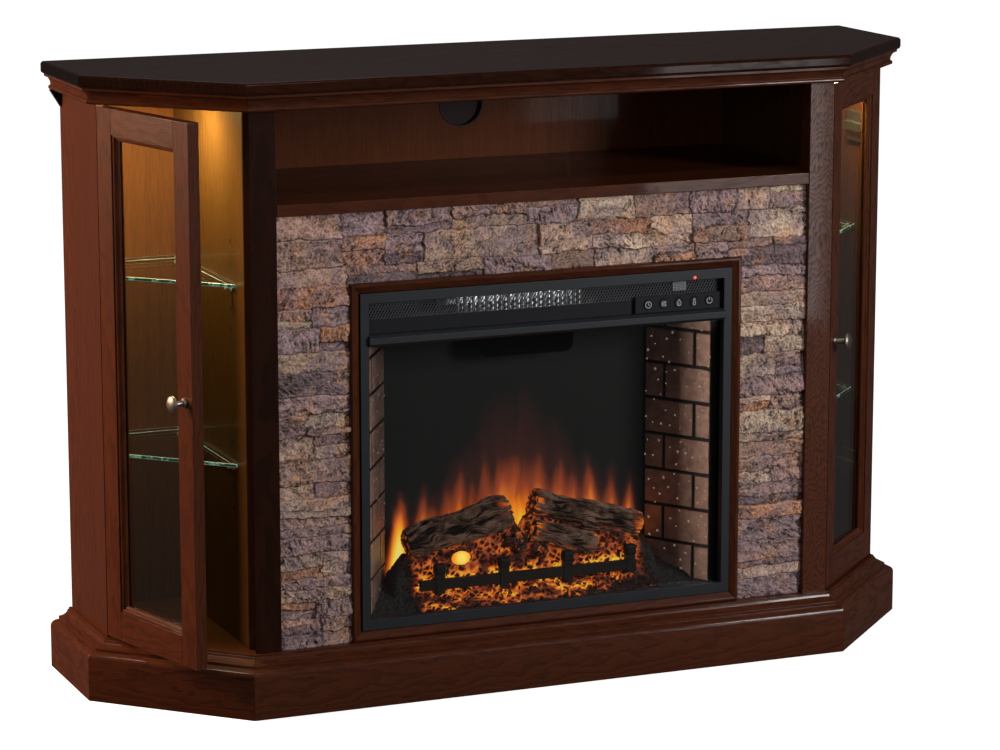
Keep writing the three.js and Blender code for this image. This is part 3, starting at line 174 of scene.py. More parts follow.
# %% Sockets that can be added and multiplied
class Socket:
    """An output of a node. Arithmetic on it adds Math nodes."""

    def __init__(self, tree, output):
        self.tree = tree
        self.output = output

    def math(self, operation, *values, clamp=False):
        """A Math node on some values or links."""
        return self.tree.add("ShaderNodeMath", {"operation": operation, "use_clamp": clamp}, values)

    def __add__(self, other):
        return self.math("ADD", self, other)

    def __sub__(self, other):
        return self.math("SUBTRACT", self, other)

    def __rsub__(self, other):
        return self.math("SUBTRACT", other, self)

    def __mul__(self, other):
        return self.math("MULTIPLY", self, other)

    def __truediv__(self, other):
        return self.math("DIVIDE", self, other)

    def __pow__(self, other):
        return self.math("POWER", self, other)

    __radd__ = __add__
    __rmul__ = __mul__

    def clamped(self):
        """Kept between 0 and 1."""
        return self.math("ADD", self, 0, clamp=True)

    def fraction(self):
        return self.math("FRACT", self)

    def rise(self, low, high):
        """0 below low, 1 above high and a smooth step between."""
        values = {"Value": self, "From Min": low, "From Max": high}
        return self.tree.add("ShaderNodeMapRange", {"interpolation_type": "SMOOTHSTEP"}, values)

    def part(self, name):
        """Another output of the same node."""
        return Socket(self.tree, self.output.node.outputs[name])


class Tree:
    """A node tree. Every node in it comes from add()."""

    def __init__(self, tree):
        self.tree = tree
        tree.nodes.clear()

    def add(self, kind, settings=None, values=(), output=0):
        """A new node: its settings first, then the values or links of its sockets."""
        node = self.tree.nodes.new(kind)
        for name, value in (settings or {}).items():
            setattr(node, name, value)
        pairs = values.items() if isinstance(values, dict) else enumerate(values)
        for key, value in pairs:
            if isinstance(value, Socket):
                self.tree.links.new(value.output, node.inputs[key])
            else:
                node.inputs[key].default_value = value
        return Socket(self, node.outputs[output] if node.outputs else None)

    def vector(self, *parts):
        return self.add("ShaderNodeCombineXYZ", values=parts)

    def split(self, vector):
        """The three numbers of a vector."""
        whole = self.add("ShaderNodeSeparateXYZ", values=[vector])
        return whole, whole.part("Y"), whole.part("Z")


class Finish(Tree):
    """A material's tree, with the few nodes that nearly every finish uses."""

    def __init__(self, name):
        self.material = bpy.data.materials.new(name)
        self.material.use_nodes = True
        super().__init__(self.material.node_tree)

    def place(self):
        return self.add("ShaderNodeTexCoord", output="Object")

    def attribute(self, name, output="Vector"):
        return self.add("ShaderNodeAttribute", {"attribute_name": name}, output=output)

    def noise(self, vector, scale, detail=3, roughness=0.55):
        values = {"Vector": vector, "Scale": scale, "Detail": detail, "Roughness": roughness}
        return self.add("ShaderNodeTexNoise", values=values)

    def mix(self, share, one, two, blend="MIX"):
        settings = {"data_type": "RGBA", "blend_type": blend, "clamp_factor": True}
        return self.add("ShaderNodeMix", settings, {0: share, 6: one, 7: two}, 2)

    def bump(self, height, distance, strength=1):
        values = {"Height": height, "Distance": distance, "Strength": strength}
        return self.add("ShaderNodeBump", values=values)

    def principled(self, **values):
        named = {name.replace("_", " ").title().replace("Ior", "IOR"): v for name, v in values.items()}
        return self.add("ShaderNodeBsdfPrincipled", values=named)

    def done(self, shader):
        self.add("ShaderNodeOutputMaterial", values={"Surface": shader})
        return self.material

    def painted(self, **values):
        """Ends the material with one Principled shader."""
        return self.done(self.principled(**values))


def colour(red, green, blue):
    return (red, green, blue, 1)


def toned(tint, share):
    """A tint made darker or lighter."""
    return colour(*[share * part for part in tint])


print("node kit:", Socket.__name__, Tree.__name__, "and", Finish.__name__)

# %% [markdown]
# ## Stained cherry
# The boards are wood with a dark red-brown stain under satin lacquer. Growth rings are shells round
# the heart of the tree. Where a board cuts them at a slant they show as arches, and where it cuts them
# square they show as lines. Each board carries its own coordinates, along, across and through, in an
# attribute called grain, so the same formula gives every board its own figure and direction.

# %% Wood
STAIN_LIGHT = (0.092, 0.0228, 0.0080)
STAIN_DARK = (0.020, 0.0058, 0.0026)


def stained_wood(
    name, heart_depth, ring, taper, wander, contrast, sheen=0.07, tone=1.0, lamp_gold=1.0, coat=0.40
):
    """Heart depth and ring spacing in metres; taper and wander bend the rings into arches."""
    finish = Finish(name)
    along, across, through = finish.split(finish.attribute("grain"))
    drift = finish.noise(finish.vector(along * 9, across * 26, through * 26), 1, 3, 0.6)
    radius = (across ** 2 + (through + heart_depth) ** 2) ** 0.5
    shells = ((radius + along * taper + drift * wander) / ring).fraction()
    latewood = shells.rise(0.25, 0.92) * (1 - shells.rise(0.93, 1.0))
    pores = finish.noise(finish.vector(along * 30, across * 900, through * 900), 1, 3, 0.65)
    fleck = pores.rise(0.42, 0.7)
    cloud = finish.noise(finish.vector(along * 3, across * 18, through * 18), 1, 3)
    depth = (latewood * contrast + fleck * 0.42 + (cloud - 0.5) * 0.5).clamped()
    # Tone and lamp gold make lighter, darker and yellower copies of one stain: painted light and shade.
    light, dark = [colour(tone * r, tone * lamp_gold * g, tone * b) for r, g, b in (STAIN_LIGHT, STAIN_DARK)]
    stain = finish.mix(depth, light, dark)
    lines = latewood * contrast + fleck * 0.6
    gloss = (1 - latewood * contrast * 0.75 - fleck * 0.35).clamped() * coat * 1.25
    return finish.painted(
        base_color=stain,
        roughness=0.30 + depth * 0.22,
        specular_ior_level=sheen,
        coat_weight=gloss,
        coat_roughness=0.06,
        normal=finish.bump(1 - lines, 0.25 * MM, 0.55),
    )


cherry = stained_wood("stained_cherry", 0.035, 0.0065, 0.05, 0.03, 0.34)
# The left post is the same cherry at 0.30 of its tone: painted shade, as little light reaches its face.
dark_cherry = stained_wood("dark_cherry", 0.050, 0.0060, 0.02, 0.02, 0.40, tone=0.30)
# The right post has a strong cathedral figure, and its tone of 1.25 is painted light from the softbox on
# its right.
lit_cathedral = stained_wood(
    "cathedral_cherry", 0.004, 0.0070, 0.62, 0.085, 0.62, sheen=0.20, tone=1.25, coat=0.5
)
# The dividers' extra gold is painted light: the yellow of the puck lamps that shine on them.
divider_cherry = stained_wood("divider_cherry", 0.035, 0.0065, 0.05, 0.03, 0.30, lamp_gold=1.45)
# The back board's higher tone and gold are painted light from the puck lamps.
back_board = stained_wood(
    "back_board_stain", 0.100, 0.0200, 0.01, 0.010, 0.10, tone=1.7, lamp_gold=1.1, coat=0.10
)
print("wood:", cherry.name, dark_cherry.name, "and", lit_cathedral.name)

# %% [markdown]
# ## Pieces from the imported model
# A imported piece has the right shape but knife-sharp edges, and real edges catch light because they are
# rounded. Its mesh is loose triangles, so a copy is welded, its flat faces are joined and a Bevel
# modifier rounds what is left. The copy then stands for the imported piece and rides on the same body.

# %% Softened copies
WELD = 0.02 * MM
FLAT = math.radians(0.6)
ROUND_OVER = math.radians(28)
finished = {}


def link(name, mesh):
    """Puts a mesh in the scene as an object."""
    piece = bpy.data.objects.new(name, mesh)
    bpy.context.scene.collection.objects.link(piece)
    return piece


def settle(piece, body, slot, material, *replaced):
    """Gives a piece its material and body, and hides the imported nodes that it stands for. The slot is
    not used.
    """
    piece.data.materials.clear()
    piece.data.materials.append(material)
    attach(piece, body)
    if replaced:
        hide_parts(*replaced)
    finished[piece.name] = piece
    return piece


def welded(node):
    """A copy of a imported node's mesh, welded and with its flat faces joined."""
    mesh = nodes[node].data.copy()
    for layer in [a.name for a in mesh.attributes if a.name in ("custom_normal", "sharp_face")]:
        mesh.attributes.remove(mesh.attributes[layer])
    work = bmesh.new()
    work.from_mesh(mesh)
    bmesh.ops.remove_doubles(work, verts=work.verts, dist=WELD)
    bmesh.ops.dissolve_limit(work, angle_limit=FLAT, verts=work.verts, edges=work.edges)
    work.to_mesh(mesh)
    work.free()
    mesh.shade_smooth()
    return mesh


def mesh_from(work, name):
    """Ends the editing of a mesh and keeps it, shaded smooth."""
    mesh = bpy.data.meshes.new(name)
    work.to_mesh(mesh)
    work.free()
    mesh.shade_smooth()
    return mesh


def round_edges(piece, radius, rounds=2):
    """Rounds the edges between faces that meet at more than ROUND_OVER."""
    bevel = piece.modifiers.new("round_edges", "BEVEL")
    bevel.width = radius
    bevel.segments = rounds
    bevel.limit_method = "ANGLE"
    bevel.angle_limit = ROUND_OVER
    bevel.harden_normals = True


def paint(node, material):
    """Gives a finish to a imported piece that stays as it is."""
    nodes[node].data.materials.clear()
    nodes[node].data.materials.append(material)


def softened(node, slot, material, radius=0.8 * MM, rounds=2):
    """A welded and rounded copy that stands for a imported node."""
    piece = link(f"{node}_finished", welded(node))
    round_edges(piece, radius, rounds)
    return settle(piece, nodes[node]["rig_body"], slot, material, node)


print("edges are rounded past", round(math.degrees(ROUND_OVER)), "degrees")

# %% [markdown]
# ## Grain direction
# Grain runs along the length of each board: up the posts and sides, along the shelf, the top and each
# length of moulding. The attribute is stored on face corners, so where two boards meet in one mesh,
# as at a mitre, the grain can turn sharply.

# %% Grain attribute
BOARD_SHIFT = 1.37


def lay_grain(piece, member_at):
    """member_at gives a face centre's (along, out, origin, seed), the origin on the heart line."""
    mesh = piece.data
    values = np.zeros((len(mesh.loops), 3), np.float32)
    for face in mesh.polygons:
        along, out, origin, seed = member_at(face.center)
        across = out.cross(along)
        for corner in face.loop_indices:
            here = mesh.vertices[mesh.loops[corner].vertex_index].co - origin
            values[corner] = (here.dot(along) + BOARD_SHIFT * seed, here.dot(across), here.dot(out))
    layer = mesh.attributes.new("grain", "FLOAT_VECTOR", "CORNER")
    layer.data.foreach_set("vector", values.ravel())


def one_board(piece, along, out, seed, aside=0.0):
    """Lays one grain over a whole piece. Aside moves the heart line off the middle of the board."""
    corners = np.array([v.co for v in piece.data.vertices])
    middle = Vector((corners.min(0) + corners.max(0)) / 2)
    along = Vector(along).normalized()
    out = Vector(out).normalized()
    origin = middle + out.cross(along) * aside
    lay_grain(piece, lambda centre: (along, out, origin, seed))


front = Vector((0, -1, 0))
right = Vector((1, 0, 0))
print("grain can be laid on", len(nodes), "nodes")

# %% [markdown]
# ## Top board, crown and base
# The top board and the mouldings go round the two angled corners. Each length of moulding turns once,
# from the side of the cabinet to its angled face, so its faces are sorted by which length they are in.

# %% Boards and mouldings
HALF_WIDTH = abs(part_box("left_side_panel")[0].x)
SIDE_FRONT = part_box("left_side_panel")[0].y
MITRE = math.tan(math.radians(22.5))
MOULDINGS = ("crown_left", "crown_front", "crown_right", "base_left", "base_front", "base_right")


def moulding(node, seed):
    """A crown or base length: straight in front, or a side length that turns into the angled corner."""
    piece = softened(node, "cherry_wood", cherry, 0.5 * MM)
    low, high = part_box(node)
    level = (low.z + high.z) / 2
    if node.endswith("front"):
        lay_grain(piece, lambda centre: (right, front, Vector((0, low.y, level)), seed))
        return
    side = -1 if node.endswith("left") else 1
    heart = Vector((side * HALF_WIDTH, SIDE_FRONT, level))
    angled = Vector((side, 1, 0)).normalized()
    angled_out = Vector((side, -1, 0)).normalized()

    def member_at(centre):
        if centre.y > SIDE_FRONT - (abs(centre.x) - HALF_WIDTH) * MITRE:
            return Vector((0, 1, 0)), Vector((side, 0, 0)), heart, seed + 1
        return angled, angled_out, heart, seed + 2

    lay_grain(piece, member_at)


for seed, name in enumerate(MOULDINGS):
    moulding(name, 3 * seed + 1)
top_board = softened("top_board", "cherry_wood", cherry, 1.4 * MM, 3)
one_board(top_board, right, UP, 31, 0.05)
one_board(softened("floor_board", "cherry_wood", cherry), right, UP, 37, 0.04)
one_board(softened("media_shelf", "cherry_wood", cherry, 1.0 * MM), right, front, 41, 0.02)
one_board(softened("back_panel", "back_board", back_board, 0.5 * MM), UP, front, 47, 0.03)
one_board(softened("left_post", "cherry_wood", dark_cherry, 1.0 * MM), UP, front, 43)
one_board(softened("right_post", "cherry_wood", lit_cathedral, 1.0 * MM), UP, front, 44, -0.012)
for seed, name in enumerate(("trim_top", "trim_right", "trim_bottom", "trim_left")):
    along = right if seed % 2 == 0 else UP
    trim = softened(name, "cherry_wood", cherry, 0.4 * MM)
    firebox_screens.objects.link(trim)
    one_board(trim, along, front, 53 + seed)
print("boards and mouldings:", len(finished))

# %% [markdown]
# ## What the top board mirrors
# From behind, the polished top would mirror the two strongest softboxes as white patches, so they
# leave it out: a receiver collection that excludes one piece means every piece but that one. The base
# glint does the opposite and lights only two lengths of the base, under the open door.

# %% Lights for chosen boards
all_but_top = bpy.data.collections.new("all_but_top")
all_but_top.objects.link(top_board)
all_but_top.collection_objects[0].light_linking.link_state = "EXCLUDE"
for lamp in (key_right, side_left):
    lamp.light_linking.receiver_collection = all_but_top
base_lengths = bpy.data.collections.new("base_lengths")
for name in ("base_left", "base_front"):
    base_lengths.objects.link(finished[f"{name}_finished"])
base_glint.light_linking.receiver_collection = base_lengths
print("left out of two lights:", top_board.name)

# %% [markdown]
# ## Side panels and dividers
# These boards carry the glass shelves on little white clips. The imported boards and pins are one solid,
# but they are two materials, so the boards are drawn again as plain prisms and the clips come later.

# %% Boards of a cabinet
BOARD = 15 * MM


def prism(name, plan, low, high):
    """A board from its plan corners, closed at both levels."""
    work = bmesh.new()
    foot = work.faces.new([work.verts.new((x, y, low)) for x, y in plan])
    raised = bmesh.ops.extrude_face_region(work, geom=[foot])["geom"]
    head = [part for part in raised if isinstance(part, bmesh.types.BMVert)]
    bmesh.ops.translate(work, verts=head, vec=(0, 0, high - low))
    bmesh.ops.recalc_face_normals(work, faces=work.faces)
    return link(name, mesh_from(work, name))


def cabinet_boards(side, way):
    """A side panel and a divider. Gives where the divider's face to the cabinet is."""
    low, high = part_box(f"{side}_side_panel")
    outer = way * HALF_WIDTH
    inner = outer - way * BOARD
    plan = [(outer, high.y), (outer, low.y), (inner, low.y + BOARD), (inner, high.y)]
    panel = prism(f"{side}_side_board", plan, low.z, high.z)
    round_edges(panel, 0.8 * MM)
    settle(panel, "cabinet", "cherry_wood", cherry, f"{side}_side_panel")
    one_board(panel, UP, (way, 0, 0), 61 if way < 0 else 62, 0.06)
    low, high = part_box(f"{side}_divider")
    niche_face = high.x if way < 0 else low.x
    cabinet_face = niche_face + way * BOARD
    plan = [(niche_face, low.y), (cabinet_face, low.y), (cabinet_face, high.y), (niche_face, high.y)]
    divider = prism(f"{side}_divider_board", plan, low.z, high.z)
    round_edges(divider, 0.8 * MM)
    settle(divider, "cabinet", "cherry_wood", divider_cherry, f"{side}_divider")
    one_board(divider, UP, (way, 0, 0), 65 if way < 0 else 66, 0.05)
    return cabinet_face


SIDES = (("left", -1), ("right", 1))
divider_faces = {side: cabinet_boards(side, way) for side, way in SIDES}
print("divider faces at", divider_faces)

# %% [markdown]
# ## Metal, plastic and lamp finishes
# Powder coat is matt with a fine orange peel. Nickel and aluminium are brushed, so their roughness
# changes in thin lines. Rubber and plastic are the same formula as powder coat, with other numbers.

# %% Small finishes
def coated_steel(name, tint, roughness, peel, sheen=0.4):
    finish = Finish(name)
    grain = finish.noise(finish.place(), 1400, 2)
    patch = finish.noise(finish.place(), 18, 3)
    tone = finish.mix(patch, toned(tint, 0.8), toned(tint, 1.2))
    return finish.painted(
        base_color=tone,
        roughness=roughness + patch * 0.12,
        specular_ior_level=sheen,
        normal=finish.bump(grain, peel),
    )


def bare_metal(name, tint, roughness, scratch=(300, 300, 9)):
    finish = Finish(name)
    stretched = finish.vector(*[p * s for p, s in zip(finish.split(finish.place()), scratch)])
    lines = finish.noise(stretched, 4, 3, 0.7)
    tone = finish.mix(lines, toned(tint, 0.75), colour(*tint))
    return finish.painted(base_color=tone, metallic=1.0, roughness=roughness + lines * 0.18)


black_steel = coated_steel("powder_coat", (0.015, 0.017, 0.022), 0.40, 0.03 * MM)
case_steel = coated_steel("case_sheet", (0.0035, 0.0035, 0.004), 0.75, 0.04 * MM, 0.1)
grille_steel = coated_steel("grille_coat", (0.009, 0.0095, 0.012), 0.5, 0.03 * MM, 0.2)
wire_steel = coated_steel("wire_coat", (0.060, 0.062, 0.068), 0.35, 0.01 * MM)
gloss_plastic = coated_steel("key_plastic", (0.0085, 0.009, 0.0115), 0.45, 0.004 * MM, 0.2)
nickel = bare_metal("brushed_nickel", (0.40, 0.35, 0.30), 0.30)
warm_nickel = bare_metal("warm_nickel", (0.55, 0.36, 0.24), 0.35)
clip_white = coated_steel("clip_plastic", (0.55, 0.56, 0.53), 0.25, 0.01 * MM)
flap_rubber = coated_steel("flap_rubber", (0.030, 0.014, 0.010), 0.6, 0.05 * MM)
aluminium = bare_metal("heater_aluminium", (0.86, 0.87, 0.90), 0.22, (60, 60, 400))
foil = bare_metal("rotor_foil", (0.85, 0.85, 0.88), 0.12)
print("metal, plastic and rubber:", black_steel.name, "to", foil.name)

# %% Lamps and display
def glowing(name, tint, strength):
    finish = Finish(name)
    haze = finish.noise(finish.place(), 500, 2)
    glow = finish.mix(haze, toned(tint, 0.9), colour(*tint))
    return finish.painted(base_color=glow, roughness=0.35, emission_color=glow, emission_strength=strength)


lamp_glow = glowing("puck_lens", (1.0, 0.86, 0.50), 14)
icon_glow = glowing("icon_print", (0.42, 0.43, 0.46), 0.12)
red_glow = glowing("indicator_red", (1.0, 0.06, 0.03), 1.8)
DOT_PITCH = 2.2 * MM


def dotted_window():
    """A pale display behind a fine screen of dots."""
    finish = Finish("display_window")
    across, _, up = finish.split(finish.place())
    dot = (across / DOT_PITCH).fraction().rise(0.25, 0.5) * (up / DOT_PITCH).fraction().rise(0.25, 0.5)
    tone = finish.mix(dot, colour(0.010, 0.010, 0.012), colour(0.30, 0.31, 0.34))
    return finish.painted(base_color=tone, roughness=dot * 0.1 + 0.2)


window_dots = dotted_window()
print("finishes so far:", len(bpy.data.materials))

# %% [markdown]
# ## Glass
# A thin pane bends light so little that a clear and a mirror-like shader can be mixed. The share of
# mirror grows steeply towards grazing angles, the same from both sides of the pane. Where a sheet is
# cut, its edge shows green, because light travels along the sheet. The shelves' front edges get a
# green finish that gives off light as painted glow, with painted glints in bright streaks, and their
# fine rounding gets a pale painted highlight that gives off light too.

# %% Glass finishes
def pane(name, clear, mirror):
    finish = Finish(name)
    smear = finish.noise(finish.place(), 9, 3)
    through = finish.add("ShaderNodeBsdfTransparent", values={"Color": colour(*clear)})
    shine = finish.principled(base_color=colour(1, 1, 1), metallic=1.0, roughness=0.02 + smear * 0.03)
    grazing = finish.add("ShaderNodeLayerWeight", values={"Blend": 0.5}, output="Facing")
    share = (grazing ** 5 * 0.96 + 0.04) * mirror
    return finish.done(finish.add("ShaderNodeMixShader", values=[share, through, shine]))


def glowing_glass_edge(name, dark, tint, glow):
    finish = Finish(name)
    streak = finish.noise(finish.place(), 60, 4, 0.7)
    # Bright streaks are painted glints, and the whole edge gives off light as painted glow.
    painted_glints = streak.rise(0.50, 0.60)
    tone = finish.mix(painted_glints, colour(*dark), colour(*tint))
    return finish.painted(
        base_color=tone, roughness=0.08 + streak * 0.2, emission_color=tone, emission_strength=glow
    )


clear_glass = pane("door_glass", (0.93, 0.97, 0.95), 0.9)
shelf_glass = pane("shelf_glass", (0.89, 0.93, 0.90), 0.8)
fire_glass = pane("fire_glass", (0.80, 0.80, 0.80), 0.55)
# Front edges: green glass with painted glow. Rounding: a pale painted highlight that gives off light.
glowing_green_edge = glowing_glass_edge("shelf_front_edge", (0.006, 0.060, 0.036), (0.22, 0.56, 0.38), 0.35)
pale_edge_highlight = glowing_glass_edge("shelf_back_edge", (0.45, 0.44, 0.40), (0.75, 0.74, 0.68), 0.25)
print("glass:", clear_glass.name, shelf_glass.name, "and", fire_glass.name)

# %% Panes and shelves
LEVELS = ("lower", "upper")
for side, _ in SIDES:
    softened(f"{side}_door_glass", "clear_glass", clear_glass, 0.3 * MM, 1)
    for level in LEVELS:
        shelf = softened(f"{side}_glass_shelf_{level}", "clear_glass", shelf_glass, 0.7 * MM, 1)
        shelf.modifiers["round_edges"].material = 2
        shelf.data.materials.append(glowing_green_edge)
        shelf.data.materials.append(pale_edge_highlight)
        for face in shelf.data.polygons:
            face.material_index = 1 if face.normal.y < -0.3 else 0
paint("firebox_glass", fire_glass)
print("panes and shelves are glazed")

# %% [markdown]
# ## Door frames
# A frame door is two upright stiles, two rails between them and a stepped bead round the glass. Made
# as separate members the joint lines show, as they do on the real door, and each has its own grain.
# Everything is drawn flat, along the door and into it, and then stood up where the door hangs.

# %% Door places
LEFT_AJAR = 30
STILE = 46 * MM
TOP_RAIL = 46 * MM
BOTTOM_RAIL = 52 * MM
BEAD_WIDTH = 9 * MM
GLASS_SEAT = 10 * MM
JOINT_LINE = 0.35 * MM
hinges = {joint["child"]: Vector(joint["pos_m"]) for joint in frame["joints"] if "door" in joint["name"]}


class Door:
    """Where one door hangs, and how a point on it is placed in the room."""

    def __init__(self, side, way, ajar):
        self.side = side
        self.way = way
        turn = math.radians(45 + ajar)
        self.pivot = hinges[f"{side}_door"].xy.to_3d()
        self.along = Vector((-way * math.cos(turn), -math.sin(turn), 0))
        self.inward = Vector((-way * math.sin(turn), math.cos(turn), 0))
        low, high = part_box(f"{side}_door_frame")
        self.bottom = low.z
        self.top = high.z
        reach = [(Vector(v.co) - self.pivot) for v in nodes[f"{side}_door_frame"].data.vertices]
        self.width = max(point.dot(self.along) for point in reach)
        self.thickness = max(point.dot(self.inward) for point in reach)

    def at(self, along, inward, height):
        return self.pivot + self.along * along + self.inward * inward + UP * height


doors = [Door("left", -1, LEFT_AJAR), Door("right", 1, 0)]
for door in doors:
    print(door.side, "door", round(door.width / MM, 1), "by", round(door.thickness / MM, 1), "mm")


# %% Closed shells
CREASE = math.radians(40)


def mesh_of(name, points, faces, crease=CREASE):
    """A closed mesh with its faces turned outwards, and a crease where they meet at a wide angle."""
    mesh = bpy.data.meshes.new(name)
    mesh.from_pydata([tuple(p) for p in points], [], faces)
    work = bmesh.new()
    work.from_mesh(mesh)
    bmesh.ops.recalc_face_normals(work, faces=work.faces)
    work.to_mesh(mesh)
    work.free()
    mesh.shade_smooth()
    mesh.set_sharp_from_angle(angle=crease)
    return mesh


BOX_FACES = [(0, 1, 2, 3), (4, 5, 6, 7), (0, 1, 5, 4), (1, 2, 6, 5), (2, 3, 7, 6), (3, 0, 4, 7)]


def box_shell(low, high, place=lambda *numbers: Vector(numbers)):
    """Points and faces of a box between two corners; place turns three numbers into a point."""
    ends = (low, high)
    rim = ((0, 0), (1, 0), (1, 1), (0, 1))
    return [place(ends[i][0], ends[j][1], ends[k][2]) for k in (0, 1) for i, j in rim], BOX_FACES


def framed(door, profile):
    """Runs a closed profile of (outwards, inwards) round the glass opening with mitred corners."""
    left = STILE
    right_edge = door.width - STILE
    foot = door.bottom + BOTTOM_RAIL
    head = door.top - TOP_RAIL
    corners = [
        (left, foot, -1, -1),
        (right_edge, foot, 1, -1),
        (right_edge, head, 1, 1),
        (left, head, -1, 1),
    ]
    points = [
        door.at(s + way_s * out, depth, z + way_z * out)
        for s, z, way_s, way_z in corners
        for out, depth in profile
    ]
    count = len(profile)
    faces = []
    for ring in range(4):
        for i in range(count):
            j = (i + 1) % count
            after = (ring + 1) % 4
            faces.append((ring * count + i, ring * count + j, after * count + j, after * count + i))
    return points, faces


def joined(name, shells):
    """One object from several separate closed shells of (points, faces)."""
    points = []
    faces = []
    for shell_points, shell_faces in shells:
        base = len(points)
        points.extend(shell_points)
        faces.extend(tuple(base + i for i in face) for face in shell_faces)
    return link(name, mesh_of(name, points, faces))


print("a box shell has", len(BOX_FACES), "faces")

# %% Bead and glass strip
ARC = [math.radians(a) for a in (0, 22.5, 45, 67.5, 90)]
BEAD_ROUND = [((6.9 - 2.7 * math.sin(a)) * MM, (5.0 - 3.0 * math.cos(a)) * MM) for a in ARC]
BEAD_PROFILE = [
    (BEAD_WIDTH, GLASS_SEAT),
    (BEAD_WIDTH, 2.0 * MM),
    (8.0 * MM, 2.0 * MM),
    *BEAD_ROUND,
    (3.0 * MM, 5.0 * MM),
    (0.8 * MM, 7.0 * MM),
    (0.0, 7.0 * MM),
    (0.0, GLASS_SEAT),
]
STRIP_PROFILE = [(x * MM, y * MM) for x, y in ((0.5, 13.6), (7.6, 13.6), (7.6, 17.2), (3.5, 17.2))]
print("the bead's profile has", len(BEAD_PROFILE), "points")

# %% Door members
# The height over the floor where the grain of the rails gets its other seed.
SEED_HEIGHT = 500 * MM


def door_frame(door):
    """Two stiles, two rails and the bead, and the strip that holds the glass from behind."""
    flat_stile = STILE - BEAD_WIDTH
    low_rail = door.bottom + BOTTOM_RAIL - BEAD_WIDTH
    high_rail = door.top - TOP_RAIL + BEAD_WIDTH
    depth = door.thickness
    far = door.width
    inner = flat_stile + JOINT_LINE
    members = [
        ((0, 0, door.bottom), (flat_stile, depth, door.top)),
        ((far - flat_stile, 0, door.bottom), (far, depth, door.top)),
        ((inner, 0, door.bottom), (far - inner, depth, low_rail)),
        ((inner, 0, high_rail), (far - inner, depth, door.top)),
    ]
    shells = [box_shell(low, high, door.at) for low, high in members]
    piece = joined(f"{door.side}_door_members", [*shells, framed(door, BEAD_PROFILE)])
    round_edges(piece, 0.5 * MM)
    settle(piece, f"{door.side}_door", "cherry_wood", cherry, f"{door.side}_door_frame")

    def member_at(centre):
        here = (centre - door.pivot).dot(door.along)
        level = centre.z
        out = -door.inward
        edge = min(here, far - here)
        rise = min(level - door.bottom - BOTTOM_RAIL, door.top - TOP_RAIL - level)
        if edge < STILE and edge - STILE < rise:
            if here < far / 2:
                return UP, out, door.at(flat_stile / 2, 0, 0), 71
            return UP, out, door.at(far - flat_stile / 2, 0, 0), 73
        middle = low_rail if level < (door.top + door.bottom) / 2 else high_rail
        return door.along, out, door.at(0, 0, middle), 77 if level < SEED_HEIGHT else 79

    lay_grain(piece, member_at)
    strip = joined(f"{door.side}_glass_strip", [framed(door, STRIP_PROFILE)])
    round_edges(strip, 0.4 * MM, 1)
    settle(strip, f"{door.side}_door", "cherry_wood", cherry)
    lay_grain(strip, member_at)
    return piece


for door in doors:
    piece = door_frame(door)
    print(piece.name, "has", len(piece.data.polygons), "faces")

# %% [markdown]
# ## Turned pieces: knobs and puck lights
# A knob and a lamp housing are turned, so each is one profile spun round an axis. The knob has a
# rosette, a slim neck and a domed head; the lamp has a nickel rim with a glowing lens set into it.

# %% Lathe
def lathe(name, profile, place, axis, sides=56):
    """Spins (radius, distance) pairs round an axis; a radius of 0 closes an end in one point."""
    axis = Vector(axis).normalized()
    first = axis.orthogonal().normalized()
    second = axis.cross(first)
    points = []
    rings = []
    for radius, distance in profile:
        if radius == 0:
            rings.append([len(points)] * sides)
            points.append(place + axis * distance)
            continue
        rings.append(list(range(len(points), len(points) + sides)))
        for i in range(sides):
            turn = 2 * math.pi * i / sides
            spoke = first * math.cos(turn) + second * math.sin(turn)
            points.append(place + axis * distance + spoke * radius)
    faces = []
    for near, far in zip(rings, rings[1:]):
        for i in range(sides):
            j = (i + 1) % sides
            face = [near[i], near[j], far[j], far[i]]
            faces.append(tuple(dict.fromkeys(face)))
    return mesh_of(name, points, faces)


def dome(radius, foot, head, steps=9):
    """Profile points of a dome from its rim to its top."""
    turns = [0.5 * math.pi * i / steps for i in range(steps)]
    return [(radius * math.cos(t), foot + (head - foot) * math.sin(t)) for t in turns] + [(0, head)]


def in_metres(profile):
    """A profile that is written in millimetres."""
    return [(radius * MM, distance * MM) for radius, distance in profile]


# %% Door knobs
KNOB_PROFILE = [
    (0, 0.3), (7, 0.3), (7, 2.2), (6.2, 3.2), (4.4, 4.6), (3.9, 8), (4.3, 15), (6.4, 18.2), (11.4, 19.4),
    *dome(12.65, 20.6, 26.2),
]
for door in doors:
    low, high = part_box(f"{door.side}_door_knob")
    centre = (low + high) / 2
    along = (centre - door.pivot).dot(door.along)
    base = door.at(along, 0, centre.z)
    knob = link(f"{door.side}_knob", lathe("knob", in_metres(KNOB_PROFILE), base, -door.inward))
    round_edges(knob, 0.3 * MM, 1)
    settle(knob, f"{door.side}_door", "nickel", nickel, f"{door.side}_door_knob")
print("knobs stand out", KNOB_PROFILE[-1][1], "mm")

